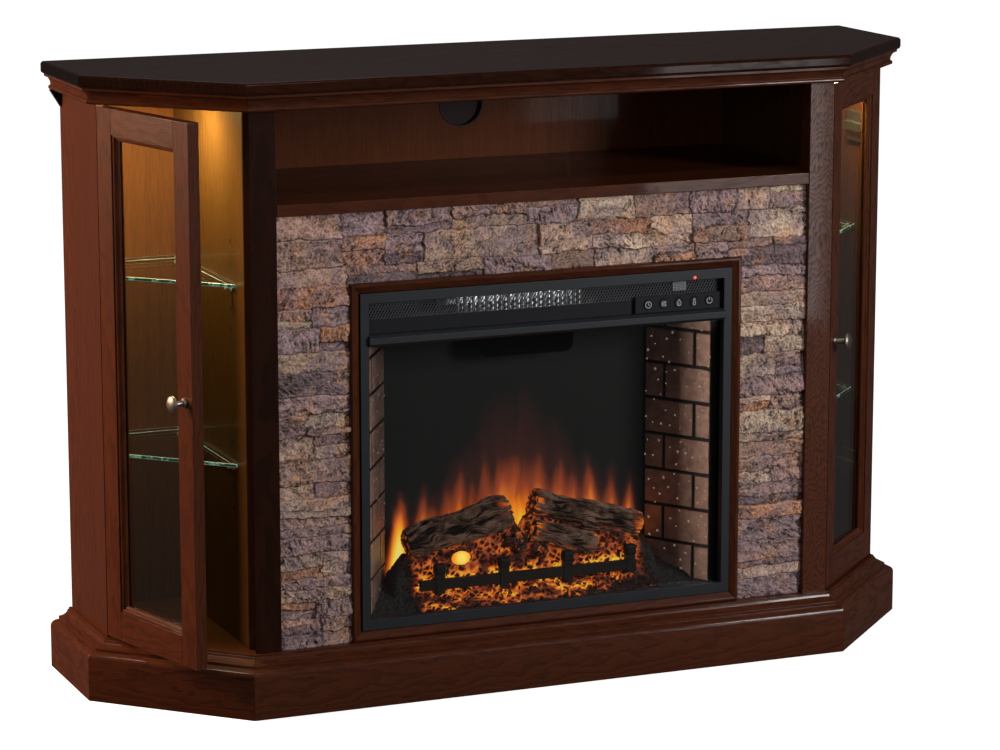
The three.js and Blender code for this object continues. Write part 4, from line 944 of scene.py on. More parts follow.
# %% Puck lights
RIM_PROFILE = [(0, 12.5), (34, 12.5), (34, 4.5), (32, 1.2), (28.5, 0), (27.2, 0.6), (26.8, 3.5), (0, 3.5)]
LENS_PROFILE = [(0, 3.2), (26.4, 3.2), (26.2, 1.4), (22, 0.6), (12, 0.15), (0, 0)]
PUCK_SEAT = 0.2 * MM
BEAM_WATTS = {"left": 3.0, "right": 1.8}
BEAM_TINT = (0.88, 0.91, 0.42)
BEAM_SIZE = 50 * MM
BEAM_DROP = 3 * MM
for side, watts in BEAM_WATTS.items():
    low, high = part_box(f"{side}_puck_light")
    foot = Vector(((low.x + high.x) / 2, (low.y + high.y) / 2, low.z + PUCK_SEAT))
    rim = link(f"{side}_puck_rim", lathe("puck_rim", in_metres(RIM_PROFILE), foot, UP))
    settle(rim, "cabinet", "nickel", warm_nickel, f"{side}_puck_light")
    lens = link(f"{side}_puck_lens", lathe("puck_lens", in_metres(LENS_PROFILE), foot, UP))
    settle(lens, "cabinet", "lamp", lamp_glow)
    start = foot - UP * BEAM_DROP
    beam = softbox(f"{side}_puck_beam", start, foot - UP, BEAM_SIZE, BEAM_SIZE, watts, BEAM_TINT)
    beam.data.shape = "DISK"
print("puck lights shine", list(BEAM_WATTS.values()), "watts")

# %% [markdown]
# ## Hinges and shelf clips
# Concealed hinges have a cup sunk into the back of the door and an arm to the side panel. The arms are
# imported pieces; cups, screws and shelf clips are small, so they are spun here and ride with their door
# or the cabinet.

# %% Hinges and cups
CUP_PROFILE = [(0, -0.5), (17.5, -0.5), (17.5, 0.3), (16.6, 0.5), (13, 0.5), (12.4, 0.1), (0, 0.1)]
SCREW_PROFILE = [(0, -0.4), (3.6, -0.4), (3.6, 0.3), (2.6, 1.1), (0.9, 1.3), (0.8, 0.5), (0, 0.5)]
CUP_INSET = 22 * MM
SCREW_INSET = 31 * MM
SCREW_SPREAD = 24 * MM


def turned(profile, place, axis, sides):
    """A shell of (points, faces) from a profile in millimetres."""
    mesh = lathe("turned", in_metres(profile), place, axis, sides)
    return [tuple(v.co) for v in mesh.vertices], [tuple(face.vertices) for face in mesh.polygons]


for door in doors:
    shells = []
    for level in LEVELS:
        low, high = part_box(f"{door.side}_hinge_{level}")
        height = (low.z + high.z) / 2
        softened(f"{door.side}_hinge_{level}", "nickel", nickel, 0.6 * MM)
        back = door.thickness
        shells.append(turned(CUP_PROFILE, door.at(CUP_INSET, back, height), door.inward, 32))
        for way in (-1, 1):
            spot = door.at(SCREW_INSET, back, height + way * SCREW_SPREAD)
            shells.append(turned(SCREW_PROFILE, spot, door.inward, 16))
    cups = joined(f"{door.side}_hinge_cups", shells)
    settle(cups, f"{door.side}_door", "nickel", nickel)
print("each door has", len(LEVELS), "hinge cups")

# %% Shelf clips
PIN_RADIUS = 2.5 * MM
PIN_SETBACK = 22 * MM
SHELF_GAP = 0.3 * MM
ON_FACE = 3 * MM
PIN_PROFILE = [
    (0, -1.0), (2.5, -1.0), (2.5, 0.1), (5.6, 0.2), (5.6, 1.6),
    (3.0, 2.2), (2.5, 9.2), (1.9, 9.9), (0, 10),
]
back_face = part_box("back_panel")[0].y
for side, way in SIDES:
    shells = []
    faces_and_aims = [(way * (HALF_WIDTH - BOARD), -way), (divider_faces[side], way)]
    for level in LEVELS:
        shelf_node = f"{side}_glass_shelf_{level}"
        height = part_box(shelf_node)[0].z - SHELF_GAP - PIN_RADIUS
        corners = [v.co for v in nodes[shelf_node].data.vertices]
        for face_x, reach in faces_and_aims:
            near = min(c.y for c in corners if abs(c.x - face_x) < ON_FACE)
            for y in (near + PIN_SETBACK, back_face - PIN_SETBACK):
                shells.append(turned(PIN_PROFILE, Vector((face_x, y, height)), (reach, 0, 0), 16))
    settle(joined(f"{side}_shelf_pins", shells), "cabinet", "nickel", clip_white)
print("shelf clips on each side:", len(shells))

# %% [markdown]
# ## Repeatable roughness
# Stone, bark and embers are too rough for a few bumps, so their meshes are moved point by point. The
# helpers below are a small kit of noise: a number that looks random but depends only on the place and
# the seed, so that the fireplace is the same each time it is made.

# %% Noise on points
def cell_value(cells, seed):
    """A number from 0 to 1 for every whole-numbered cell."""
    mixed = cells.astype(np.int64) * np.array([73856093, 19349663, 83492791])
    key = (mixed[..., 0] ^ mixed[..., 1] ^ mixed[..., 2]) + seed * 7919
    key = ((key & 0xFFFFFF) * 1103515245 + 12345) & 0x7FFFFFFF
    key = ((key >> 7) * 69069 + key) & 0x7FFFFFFF
    return (key >> 8) % 65536 / 65535


def smooth_noise(points, seed=0):
    """Random corner values blended between whole-numbered places."""
    base = np.floor(points).astype(np.int64)
    blend = points - base
    blend = blend * blend * (3 - 2 * blend)
    total = np.zeros(points.shape[:-1])
    for corner in np.ndindex(2, 2, 2):
        weight = np.prod(np.where(np.array(corner) == 1, blend, 1 - blend), axis=-1)
        total += weight * cell_value(base + np.array(corner), seed)
    return total


def rough(points, seed=0, octaves=4):
    """Layers of noise, each twice as fine and half as strong, from about -1 to 1."""
    layers = [(smooth_noise(points * 2**i, seed + i) - 0.5) * 0.5**i for i in range(octaves)]
    return sum(layers)


def stack(*parts):
    """Points from their separate numbers or grids."""
    return np.stack(np.broadcast_arrays(*parts), axis=-1)


def smoothstep(value, low, high):
    """0 below low, 1 above high and a smooth step between."""
    t = np.clip((value - low) / (high - low), 0, 1)
    return t * t * (3 - 2 * t)


def plateau(value, low, low_full, high_full, high):
    """1 between the two inner limits, and down to 0 at the outer ones."""
    return smoothstep(value, low, low_full) * (1 - smoothstep(value, high_full, high))


print("noise at the origin:", round(float(rough(np.zeros((1, 3)))[0]), 3))


# %% Sheets closed into solids
def slab(name, sheet, axis, level):
    """Closes a grid of points: its rim runs straight to a flat back at a level of one axis."""
    rows, columns = sheet.shape[:2]
    index = np.arange(rows * columns).reshape(rows, columns)
    quads = stack(index[:-1, :-1], index[:-1, 1:], index[1:, 1:], index[1:, :-1]).reshape(-1, 4)
    rim = np.concatenate([index[0, :-1], index[:-1, -1], index[-1, :0:-1], index[:0:-1, 0]])
    points = sheet.reshape(-1, 3)
    back = points[rim].copy()
    back[:, axis] = level
    count = len(rim)
    base = len(points)
    turn = np.roll(np.arange(count), -1)
    sides = stack(rim, rim[turn], base + turn, base + np.arange(count))
    faces = [*map(tuple, quads.tolist()), *map(tuple, sides.tolist()), tuple(range(base, base + count))]
    return mesh_of(name, np.vstack([points, back]).tolist(), faces)


def store(mesh, name, values):
    """Keeps a number or colour on every point; points past the given ones repeat the last."""
    values = np.asarray(values, np.float32)
    missing = len(mesh.vertices) - len(values)
    values = np.concatenate([values, np.repeat(values[-1:], missing, axis=0)])
    if values.ndim == 1:
        mesh.attributes.new(name, "FLOAT", "POINT").data.foreach_set("value", values)
        return
    tinted = np.concatenate([values, np.ones((len(values), 1), np.float32)], axis=1)
    mesh.attributes.new(name, "FLOAT_COLOR", "POINT").data.foreach_set("color", tinted.ravel())


# %% [markdown]
# ## Stacked stone
# The facing is thin stones laid in courses, tan, mauve-grey and rust, split along their beds so that
# each face is a stack of little ledges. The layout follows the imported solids. Each panel is then a
# fine grid, pushed out stone by stone, with every stone's colour kept on its points.

# %% Stone layout
STONE_COURSE = 30 * MM
STONE_LENGTH = 88 * MM
STONE_EDGE = 1.6 * MM
THIN_STONES = 0.38
STONE_SPARE = 6 * MM
STONE_BACKING = 10 * MM
STONE_RELIEF = (3.5 * MM, 10 * MM)
STONE_LIMITS = (1.6 * MM, 11.6 * MM)
LEDGE_PITCH = 7.5 * MM
SPLIT_SPREAD = 0.8
STONE_GRID = 1.3 * MM


def numbers_from(seed):
    """An endless run of numbers from 0 to 1."""
    state = seed
    while True:
        state = (state * 16807) % 2147483647
        yield state / 2147483647


def split(length, usual, random):
    """Ends of pieces that vary round a usual size and fill a length."""
    count = max(1, math.floor(length / usual + SPLIT_SPREAD * (next(random) - 0.5) + 0.5))
    shares = [1 + SPLIT_SPREAD * (next(random) - 0.5) for _ in range(count)]
    return np.cumsum([0, *shares]) * length / sum(shares)


def stone_layout(low, high, seed):
    """Every stone's (left, right, foot, head, relief)."""
    random = numbers_from(seed)
    least, most = STONE_RELIEF
    stones = []
    heights = split(high.z - low.z + 2 * STONE_SPARE, STONE_COURSE, random) - STONE_SPARE
    for foot, head in zip(heights, heights[1:]):
        ends = split(high.x - low.x + 2 * STONE_SPARE, STONE_LENGTH, random) - STONE_SPARE
        for left, right_end in zip(ends, ends[1:]):
            levels = [foot, head]
            if next(random) < THIN_STONES:
                levels.insert(1, foot + (head - foot) * (0.3 + 0.4 * next(random)))
            for under, over in zip(levels, levels[1:]):
                relief = least + (most - least) * next(random)
                stones.append((low.x + left, low.x + right_end, low.z + under, low.z + over, relief))
    return stones


# %% Stone colours and faces
STONE_TINTS = np.array([
    (0.37, 0.240, 0.175),
    (0.25, 0.165, 0.165),
    (0.28, 0.170, 0.130),
    (0.38, 0.180, 0.105),
    (0.33, 0.225, 0.180),
    (0.13, 0.085, 0.088),
    (0.43, 0.310, 0.225),
    (0.27, 0.170, 0.155),
    (0.34, 0.200, 0.155),
])


def stone_face(x, z, stone, number):
    """How far a stone stands out at each point, its painted light and speckle there, and how far inside
    its edge.
    """
    left, right_end, foot, head, relief = stone
    inside = np.minimum(np.minimum(x - left, right_end - x), np.minimum(z - foot, head - z))
    edge = np.clip(inside / STONE_EDGE, 0, 1)
    rounded = 0.62 + 0.38 * np.sqrt(1 - (1 - edge) ** 2)
    lean = (cell_value(np.array([number, 3, 1]), 5) - 0.5) * 0.9
    bed = (z + lean * x) / LEDGE_PITCH + 1.8 * rough(stack(x / 0.018, z / 0.008, number * 3.1), 11, 3)
    layer = np.floor(bed)
    lift = [cell_value(stack(layer + k, number, 2).astype(int), 17) for k in (0, 1)]
    ledge = lift[0] + (lift[1] - lift[0]) * smoothstep(bed - layer, 0.72, 1.0)
    slant = math.pi * (0.15 + 0.7 * cell_value(np.array([number, 4, 1]), 6))
    stroke = x * math.cos(slant) + z * math.sin(slant)
    beside = z * math.cos(slant) - x * math.sin(slant)
    creases = rough(stack(stroke / 0.015, beside / 0.0056, number * 1.7), 23, 3)
    crinkle = 0.34 - 2.0 * np.abs(creases)
    grit = rough(stack(x / 0.0026, z / 0.0026, number), 31, 2)
    lump = rough(stack(x / 0.03, z / 0.018, number * 2.3), 37, 2)
    rugged = 0.45 + cell_value(np.array([number, 5, 1]), 9)
    surface = (ledge - 0.5) * 2.6 + (crinkle * 2.2 + grit * 1.3) * rugged + lump * 2.4
    # A painted highlight along the top edge of three stones in five.
    brow = 0.75 * (number % 5 < 3) * (1 - smoothstep(head - z, 0.8 * MM, 2.6 * MM))
    # Painted light: raised ledges and crinkle ridges are lighter; grit adds speckle at random.
    light_and_speckle = ledge * 0.35 + crinkle * 0.45 * rugged + grit * 0.5 + brow + 0.36
    return rounded * np.clip(relief + surface * MM, *STONE_LIMITS), light_and_speckle, edge


# %% Stone panels
def grid(low, high, step):
    """Places across and up over the front of a box."""
    xs = np.linspace(low.x, high.x, round((high.x - low.x) / step))
    zs = np.linspace(low.z, high.z, round((high.z - low.z) / step))
    return np.meshgrid(xs, zs)


def stone_panel(node, seed):
    """One panel of the facing. Where two stones meet wanders with noise, as split stone does."""
    low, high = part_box(node)
    board_front = high.y - STONE_BACKING
    x, z = grid(low, high, STONE_GRID)
    wander = stack(x / 0.012, z / 0.010, 0 * x)
    slope = rough(stack(x / 0.07, z / 0.05, 0 * x), seed + 21, 2)
    warped_x = x + 5.5 * MM * rough(wander, seed, 3)
    warped_z = z + 4.2 * MM * rough(wander, seed + 9, 3) + 5.0 * MM * slope
    out = np.full_like(x, STONE_RELIEF[0])
    painted_light_and_speckle = np.zeros_like(x)
    inner = np.zeros_like(x)
    tint = np.zeros((*x.shape, 3))
    for number, stone in enumerate(stone_layout(low, high, seed)):
        left, right_end, foot, head, _ = stone
        on = (warped_x >= left) & (warped_x < right_end) & (warped_z >= foot) & (warped_z < head)
        out[on], painted_light_and_speckle[on], inner[on] = stone_face(warped_x[on], warped_z[on], stone, number + seed)
        pick = cell_value(np.array([number, seed, 7]), 3)
        shade = 0.8 + 0.45 * cell_value(np.array([number, seed, 8]), 4)
        tint[on] = STONE_TINTS[int(pick * len(STONE_TINTS)) % len(STONE_TINTS)] * shade
    mesh = slab(f"{node}_stones", stack(x, board_front - out, z), 1, high.y)
    store(mesh, "tint", tint.reshape(-1, 3))
    # The painted light and speckle of every point is kept for the finish.
    store(mesh, "painted_light_and_speckle", painted_light_and_speckle.ravel())
    # proud is 0 at a stone's edge, where the finish paints shade into the seam.
    store(mesh, "proud", inner.ravel())
    return settle(link(f"{node}_stones", mesh), "cabinet", "stone", stone_finish, node)


# %% Stone finish and the three panels
def split_stone():
    """The stones' own tints, freckled with mauve and rust, with painted light on raised places and top
    edges and painted shade in the seams.
    """
    finish = Finish("split_stone")
    place = finish.place()
    tint = finish.attribute("tint", "Color")
    painted_light_and_speckle = finish.attribute("painted_light_and_speckle", "Fac")
    proud = finish.attribute("proud", "Fac")
    mottle = finish.noise(place, 60, 4, 0.65)
    pepper = finish.noise(place, 340, 3, 0.75)
    rust = finish.noise(place, 24, 4, 0.65).rise(0.52, 0.64)
    mauve = finish.noise(place, 17, 4, 0.65).rise(0.46, 0.58)
    light = (painted_light_and_speckle * 0.9 + mottle * 1.0 + pepper * 2.4 - 1.60).clamped() * 2.05 + 0.08
    base = finish.mix(mauve * 0.6, tint, colour(0.22, 0.145, 0.158))
    base = finish.mix(rust * 0.55, base, colour(0.42, 0.21, 0.115))
    lit = finish.mix(1.0, base, finish.vector(light, light, light), "MULTIPLY")
    # Painted shade: the seams between stones darken towards a near-black brown.
    shaded = finish.mix(proud * 0.8 + 0.2, colour(0.030, 0.021, 0.017), lit)
    normal = finish.bump(pepper * 0.7 + finish.noise(place, 1100, 2) * 0.3, 0.9 * MM)
    return finish.painted(base_color=shaded, roughness=pepper * 0.2 + 0.72, normal=normal)


stone_finish = split_stone()
for node, seed in (("stone_top", 41), ("stone_left", 73), ("stone_right", 97)):
    panel = stone_panel(node, seed)
    firebox_screens.objects.link(panel)
    print(node, "has", len(panel.data.polygons), "faces")

# %% [markdown]
# ## Geometry Nodes for what repeats
# Dots on the bricks, wires of the grille, loose coals and screws repeat many times. A Geometry Nodes
# tree places one small shape on many points. Its sizes are named inputs, its result is made a plain
# mesh, and the modifier is gone before the piece is finished.

# %% A tree with named inputs
class Growth(Tree):
    """A Geometry Nodes tree whose inputs have names and values."""

    def __init__(self, name, material, **sizes):
        group = bpy.data.node_groups.new(name, "GeometryNodeTree")
        super().__init__(group)
        group.interface.new_socket("Geometry", in_out="INPUT", socket_type="NodeSocketGeometry")
        group.interface.new_socket("Geometry", in_out="OUTPUT", socket_type="NodeSocketGeometry")
        kinds = {float: "NodeSocketFloat", int: "NodeSocketInt"}
        self.values = {}
        for label, value in sizes.items():
            made = group.interface.new_socket(label, in_out="INPUT", socket_type=kinds[type(value)])
            self.values[made.identifier] = value
        self.entry = self.add("NodeGroupInput")
        self.material = material

    def size(self, label):
        """One of the named inputs."""
        return self.entry.part(label)

    def scatter(self):
        """Points over the source's faces by the tree's Spacing, Density and Seed."""
        values = {
            "Mesh": self.entry,
            "Distance Min": self.size("Spacing"),
            "Density Max": self.size("Density"),
            "Seed": self.size("Seed"),
        }
        return self.add("GeometryNodeDistributePointsOnFaces", {"distribute_method": "POISSON"}, values)

    def random_vector(self, low, high, seed):
        values = {0: low, 1: high, "Seed": seed}
        return self.add("FunctionNodeRandomValue", {"data_type": "FLOAT_VECTOR"}, values)

    def place_on(self, points, shape, rotation=(0, 0, 0), scale=(1, 1, 1)):
        """One copy of a shape on every point."""
        values = {"Points": points, "Instance": shape, "Rotation": rotation, "Scale": scale}
        return self.add("GeometryNodeInstanceOnPoints", values=values)

    def grow(self, name, instances, source=None):
        """Ends the tree, runs it on a source mesh and returns a plain object."""
        real = self.add("GeometryNodeRealizeInstances", values=[instances])
        ended = self.add("GeometryNodeSetMaterial", values={"Geometry": real, "Material": self.material})
        self.add("NodeGroupOutput", values=[ended])
        holder = link(f"{name}_source", source or bpy.data.meshes.new(name))
        modifier = holder.modifiers.new("growth", "NODES")
        modifier.node_group = self.tree
        for identifier, value in self.values.items():
            modifier[identifier] = value
        evaluated = holder.evaluated_get(bpy.context.evaluated_depsgraph_get())
        mesh = bpy.data.meshes.new_from_object(evaluated)
        bpy.data.objects.remove(holder)
        return link(name, mesh)


def faces_where(mesh, keep):
    """A copy of a mesh with only the faces that pass a test."""
    work = bmesh.new()
    work.from_mesh(mesh)
    dropped = [face for face in work.faces if not keep(face)]
    bmesh.ops.delete(work, geom=dropped, context="FACES")
    return mesh_from(work, "chosen_faces")


print("growth trees are ready")

# %% [markdown]
# ## Brick walls
# The side walls of the firebox are pressed bronze-coloured sheet in the form of bricks, dotted with
# small raised pimples. The walls are softened copies, and the dots are flattened domes scattered on
# the brick faces with a least distance between them.

# %% Bronze bricks
# The way the left wall's bricks face. The right wall is its mirror image.
BRICKS_FACE = Vector((0.8424, -0.5388, 0))
MORTAR_STEP = 0.5 * MM
MORTAR_DEPTH = 1.4 * MM


def hammered_bronze():
    finish = Finish("hammered_bronze")
    place = finish.place()
    patch = finish.noise(place, 22, 3, 0.6)
    dents = finish.noise(place, 160, 2, 0.5)
    grime = finish.noise(place, 60, 4, 0.7).rise(0.35, 0.7)
    tone = finish.mix(patch, colour(0.34, 0.205, 0.160), colour(0.58, 0.385, 0.315))
    tone = finish.mix(grime * 0.45, tone, colour(0.10, 0.055, 0.042))
    tone = finish.mix(finish.attribute("sunk", "Fac"), tone, colour(0.004, 0.003, 0.002))
    normal = finish.bump(dents, 0.9 * MM, 0.8)
    return finish.painted(base_color=tone, metallic=0.35, roughness=patch * 0.2 + 0.34, normal=normal)


def brick_faces(mesh, inward):
    """The brick faces alone: those that face the fire and stand furthest out."""
    outmost = max(v.co.dot(inward) for v in mesh.vertices) - MORTAR_STEP

    def keep(face):
        return face.normal.dot(inward) >= 0.99 and face.calc_center_median().dot(inward) >= outmost

    return faces_where(mesh, keep)


def brick_dots(name, faces):
    """Flattened domes of random sizes, scattered over the bricks."""
    sizes = {"Spacing": 12.0 * MM, "Density": 4500.0, "Radius": 2.4 * MM, "Seed": 7}
    growth = Growth("scattered_dots", pimple_bronze, **sizes)
    scattered = growth.scatter()
    ball = {"Segments": 8, "Rings": 5, "Radius": growth.size("Radius")}
    dot = growth.add("GeometryNodeMeshUVSphere", values=ball)
    smooth = growth.add("GeometryNodeSetShadeSmooth", values=[dot])
    size = growth.add("FunctionNodeRandomValue", {"data_type": "FLOAT"}, {2: 0.55, 3: 1.1, "Seed": 3}, 1)
    scale = growth.vector(size, size, size * 0.55)
    dots = growth.place_on(scattered, smooth, scattered.part("Rotation"), scale)
    return growth.grow(name, dots, faces)


bronze = hammered_bronze()
pimple_bronze = coated_steel("pimple_bronze", (0.62, 0.46, 0.39), 0.12, 0.01 * MM, 0.8)
for side, way in SIDES:
    wall = softened(f"brick_wall_{side}", "brick_bronze", bronze, 1.1 * MM, 3)
    inward = Vector((-way * BRICKS_FACE.x, BRICKS_FACE.y, 0))
    depths = np.array([v.co.dot(inward) for v in wall.data.vertices])
    store(wall.data, "sunk", smoothstep(depths.max() - depths, MORTAR_STEP, MORTAR_DEPTH))
    dots = brick_dots(f"brick_dots_{side}", brick_faces(wall.data, inward))
    settle(dots, "cabinet", "brick_bronze", pimple_bronze)
    inside_firebox.objects.link(wall)
    inside_firebox.objects.link(dots)
    brick_pimples.objects.link(dots)
    firebox_screens.objects.link(wall)
    print(side, "wall has", len(dots.data.polygons), "dot faces")

# %% [markdown]
# ## Flames on the screen
# The flames are light thrown on a smoked screen by a turning reflector. On a fine grid each tongue is
# a soft leaf of light, wide and yellow at its foot and thin and red at its tip, and the sum of all the
# tongues becomes the colour that each point gives off.

# %% Flame plan and colours
FLAME_GRID = 2.5 * MM
# Each tongue: across, foot height over the floor, height, half width, lean and heat.
TONGUES = [
    (-188, 26, 144, 15, 3, 1.40),
    (-196, 40, 112, 8, -1, 0.55),
    (-156, 58, 122, 13, 8, 0.64),
    (-136, 58, 96, 12, 4, 0.36),
    (-114, 66, 118, 13, 4, 0.46),
    (-92, 66, 146, 13, 2, 0.38),
    (-72, 66, 110, 12, 2, 0.34),
    (-52, 66, 152, 15, 2, 0.32),
    (-26, 60, 150, 16, 0, 0.36),
    (0, 56, 156, 42, 0, 0.50),
    (0, 26, 118, 25, 0, 0.90),
    (36, 70, 150, 13, 0, 0.32),
    (66, 76, 134, 16, 6, 0.48),
    (90, 76, 126, 12, 6, 0.42),
    (124, 56, 146, 14, -5, 0.78),
    (154, 52, 132, 14, 4, 0.72),
    (182, 50, 118, 11, 9, 0.66),
]
# A dim red haze between the tongues: its height at both ends and in the middle, and its heat.
HAZE_LOW = 100
HAZE_RISE = 150
HAZE_HEAT = 0.21
FIRE_STOPS = [0.0, 0.10, 0.28, 0.50, 0.78, 1.1]
FIRE_RED = [0.0, 0.035, 0.34, 0.95, 1.0, 1.0]
FIRE_GREEN = [0.0, 0.006, 0.055, 0.23, 0.56, 0.80]
FIRE_BLUE = [0.0, 0.003, 0.012, 0.018, 0.03, 0.16]


def fire_colour(heat):
    """Black through red and orange to yellow."""
    return stack(*[np.interp(heat, FIRE_STOPS, stops) for stops in (FIRE_RED, FIRE_GREEN, FIRE_BLUE)])


def flame_heat(x, z):
    """The sum of all tongues and the haze. x and z in millimetres, z over the firebox floor."""
    sway = 7 * rough(stack(x / 34, z / 46, 0 * x), 3, 3)
    total = np.zeros_like(x)
    for across, foot, height, half, lean, heat in TONGUES:
        up = np.clip((z - foot) / height, 0, 1)
        middle = across + lean * up + sway * up
        width = half * (0.25 + 0.95 * (1 - up) ** 0.8)
        leaf = np.exp(-(((x - middle) / width) ** 2)) * smoothstep(z, foot - 26, foot + 8)
        total += heat * (1 - up) ** 1.15 * leaf
    haze_peak = HAZE_RISE * np.exp(-((x / 110) ** 2))
    haze_top = HAZE_LOW + haze_peak + 26 * rough(stack(x / 17, 0 * x, 0 * x), 8, 2)
    haze = HAZE_HEAT * np.clip(1.25 - z / haze_top, 0, 1) * (1 - smoothstep(np.abs(x), 176, 206))
    streaks = 1 + 0.5 * rough(stack((x + sway) / 9, z / 90, 0 * x + 2), 19, 2)
    return (total + haze) * streaks


print("tongues of flame:", len(TONGUES))

# %% Flame screen
low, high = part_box("flame_screen")
SCREEN = low.y
FLOOR = low.z
x, z = grid(low, high, FLAME_GRID)
screen_mesh = slab("flame_screen_light", stack(x, np.full_like(x, low.y), z), 1, high.y)
store(screen_mesh, "firelight", fire_colour(flame_heat(x / MM, (z - low.z) / MM)).reshape(-1, 3))

finish = Finish("smoked_screen")
flame = finish.attribute("firelight", "Color")
dust = finish.noise(finish.place(), 70, 3)
tone = finish.mix(dust, colour(0.0135, 0.0135, 0.012), colour(0.017, 0.017, 0.015))
smoked = finish.painted(
    base_color=tone, roughness=dust * 0.1 + 0.5, emission_color=flame, emission_strength=1.25
)
settle(link("flame_screen_light", screen_mesh), "cabinet", "flame_screen", smoked, "flame_screen")
print("flame screen", round((high.x - low.x) / MM), "by", round((high.z - low.z) / MM), "mm")

# %% [markdown]
# ## Logs
# The logs are cast from real ones: long bark grooves, knots, broken ends, and cracks near the fire
# through which a lamp shines orange. Each is a tube of rings, lifted and sunk along the grain by noise
# that is stretched along the log. The share that glows is kept on the points.

# %% Log shapes
# Ends of each log: across, forwards of the flame screen, and over the firebox floor, in millimetres.
# Hot is the stretch of the log whose ends glow most, from 0 to 1; a stretch past 1 adds no glow.
LOGS = {
    "log_left": dict(start=(-192, 37, 92), end=(-28, 39, 129), radius=24, seed=5, hot=(0.62, 1.0)),
    "log_right": dict(start=(12, 35, 137), end=(188, 33, 85), radius=21, seed=11, hot=(0.0, 1.0)),
    "log_low": dict(start=(2, 55, 101), end=(106, 51, 67), radius=17, seed=23, hot=(0.0, 1.0)),
    "stub_left": dict(start=(-29, 30, 80), end=(-19, 66, 88), radius=14, seed=31, hot=(2.0, 2.1)),
    "stub_middle": dict(start=(8, 36, 66), end=(16, 70, 74), radius=11, seed=37, hot=(2.0, 2.1)),
}
LOG_SIDES = 150
LOG_RINGS = 200
BARK_DEPTH = 0.17
CAP_SHARES = (0.88, 0.7, 0.5, 0.3, 0.12)


def log_point(end):
    across, forwards, lift = end
    return Vector((across * MM, SCREEN - forwards * MM, FLOOR + lift * MM))


def log_shape(plan):
    """Rings of points, the bark coordinates of each and its glow."""
    seed = plan["seed"]
    start = log_point(plan["start"])
    axis = log_point(plan["end"]) - start
    sideways = np.array(axis.cross(UP).normalized())
    upwards = np.array(Vector(sideways).cross(axis).normalized())
    random = numbers_from(seed)
    phases = [2 * math.pi * next(random) for _ in range(3)]
    radius = plan["radius"] * MM
    angles = np.linspace(0, 2 * math.pi, LOG_SIDES, endpoint=False)
    angle, t = np.meshgrid(angles, np.linspace(0, 1, LOG_RINGS))
    bumps = np.sin(2 * angle + phases[0] + 5 * t) + np.sin(3 * angle + phases[1] - 9 * t)
    size = 1 + 0.05 * (bumps + np.sin(11 * t + phases[2]))
    length = axis.length
    turn = angle + 0.9 * rough(stack(np.cos(angle), np.sin(angle), t * length / 0.05), seed + 1, 3)
    across = radius / MM * np.cos(turn)
    over = radius / MM * np.sin(turn)
    furrows = rough(stack(across / 3.9, over / 3.9, t * length / 0.036), seed, 3)
    ridges = 1 - np.abs(2 * furrows) * 2.3
    plates = rough(stack(across / 9, over / 9, t * length / 0.014), seed + 4, 4)
    fibres = rough(stack(across / 2.2, over / 2.2, t * length / 0.012), seed + 8, 2)
    bark = np.clip(ridges, -0.9, 0.8) * 0.5 + plates * 0.45 + fibres * 0.40
    ends = np.minimum(t, 1 - t) * length
    taper = 1 - 0.10 * (1 - smoothstep(ends, 0, 0.010))
    reach = radius * size * taper * (1 + BARK_DEPTH * bark)
    jag = 5 * MM * rough(stack(np.cos(angle) * 3, np.sin(angle) * 3, np.round(t)), seed + 2, 3)
    slide = (0.5 - t) * 2 * np.abs(jag) * (1 - smoothstep(ends, 0, 0.012))
    heart = np.array(start) + np.array(axis) * t[..., None]
    centre = heart + np.array(axis.normalized()) * slide[..., None]
    spoke = sideways * np.cos(angle)[..., None] + upwards * np.sin(angle)[..., None]
    points = centre + spoke * reach[..., None]
    crack = smoothstep(-ridges, -0.25, 0.35)
    under = smoothstep(-np.sin(angle), 0.15, 0.95)
    first, last = plan["hot"]
    zone = plateau(t, first - 0.2, first + 0.05, last + 0.01, last + 0.2)
    near_end = 1 - smoothstep(ends, 0.0, 0.030)
    patchy = smoothstep(rough(stack(angle, t * 9, 0 * t), seed + 6, 3), -0.15, 0.25)
    glow = crack**1.5 * np.clip(0.50 * under * patchy + zone * near_end * 0.50, 0, 0.50)
    return points, bark, glow


def log_mesh(name, plan):
    """The tube of rings, closed at each end by smaller and smaller rings of rough end grain."""
    points, bark, glow = log_shape(plan)
    rings, sides = points.shape[:2]
    shells = [points.reshape(-1, 3)]
    caps = []
    marks = [bark.ravel()]
    heats = [glow.ravel()]
    base = rings * sides
    ahead = np.roll(np.arange(sides), -1)
    for ring, direction in ((0, -1), (rings - 1, 1)):
        rim = points[ring]
        middle = rim.mean(0)
        previous = ring * sides + np.arange(sides)
        for step, share in enumerate(CAP_SHARES):
            grain = rough(rim * 160 * share, 5, 3)
            inset = middle + (rim - middle) * share
            inset = inset + np.array([direction, 0, 0]) * (grain * 2.5 * MM)[:, None]
            here = base + np.arange(sides)
            shells.append(inset)
            marks.append(np.full(sides, -0.3 + 0.3 * (step % 2)))
            heats.append(np.clip(grain * 1.2, 0, 0.5))
            caps.extend(stack(previous, previous[ahead], here[ahead], here).tolist())
            previous = here
            base += sides
        caps.append(previous.tolist())
    index = np.arange(rings * sides).reshape(rings, sides)
    after = np.roll(index, -1, axis=1)
    quads = stack(index[:-1], after[:-1], after[1:], index[1:]).reshape(-1, 4)
    faces = [tuple(face) for face in (*quads.tolist(), *caps)]
    mesh = mesh_of(name, np.vstack(shells).tolist(), faces)
    store(mesh, "bark", np.concatenate(marks))
    store(mesh, "glow", fire_colour(np.concatenate(heats) * 0.9))
    return mesh


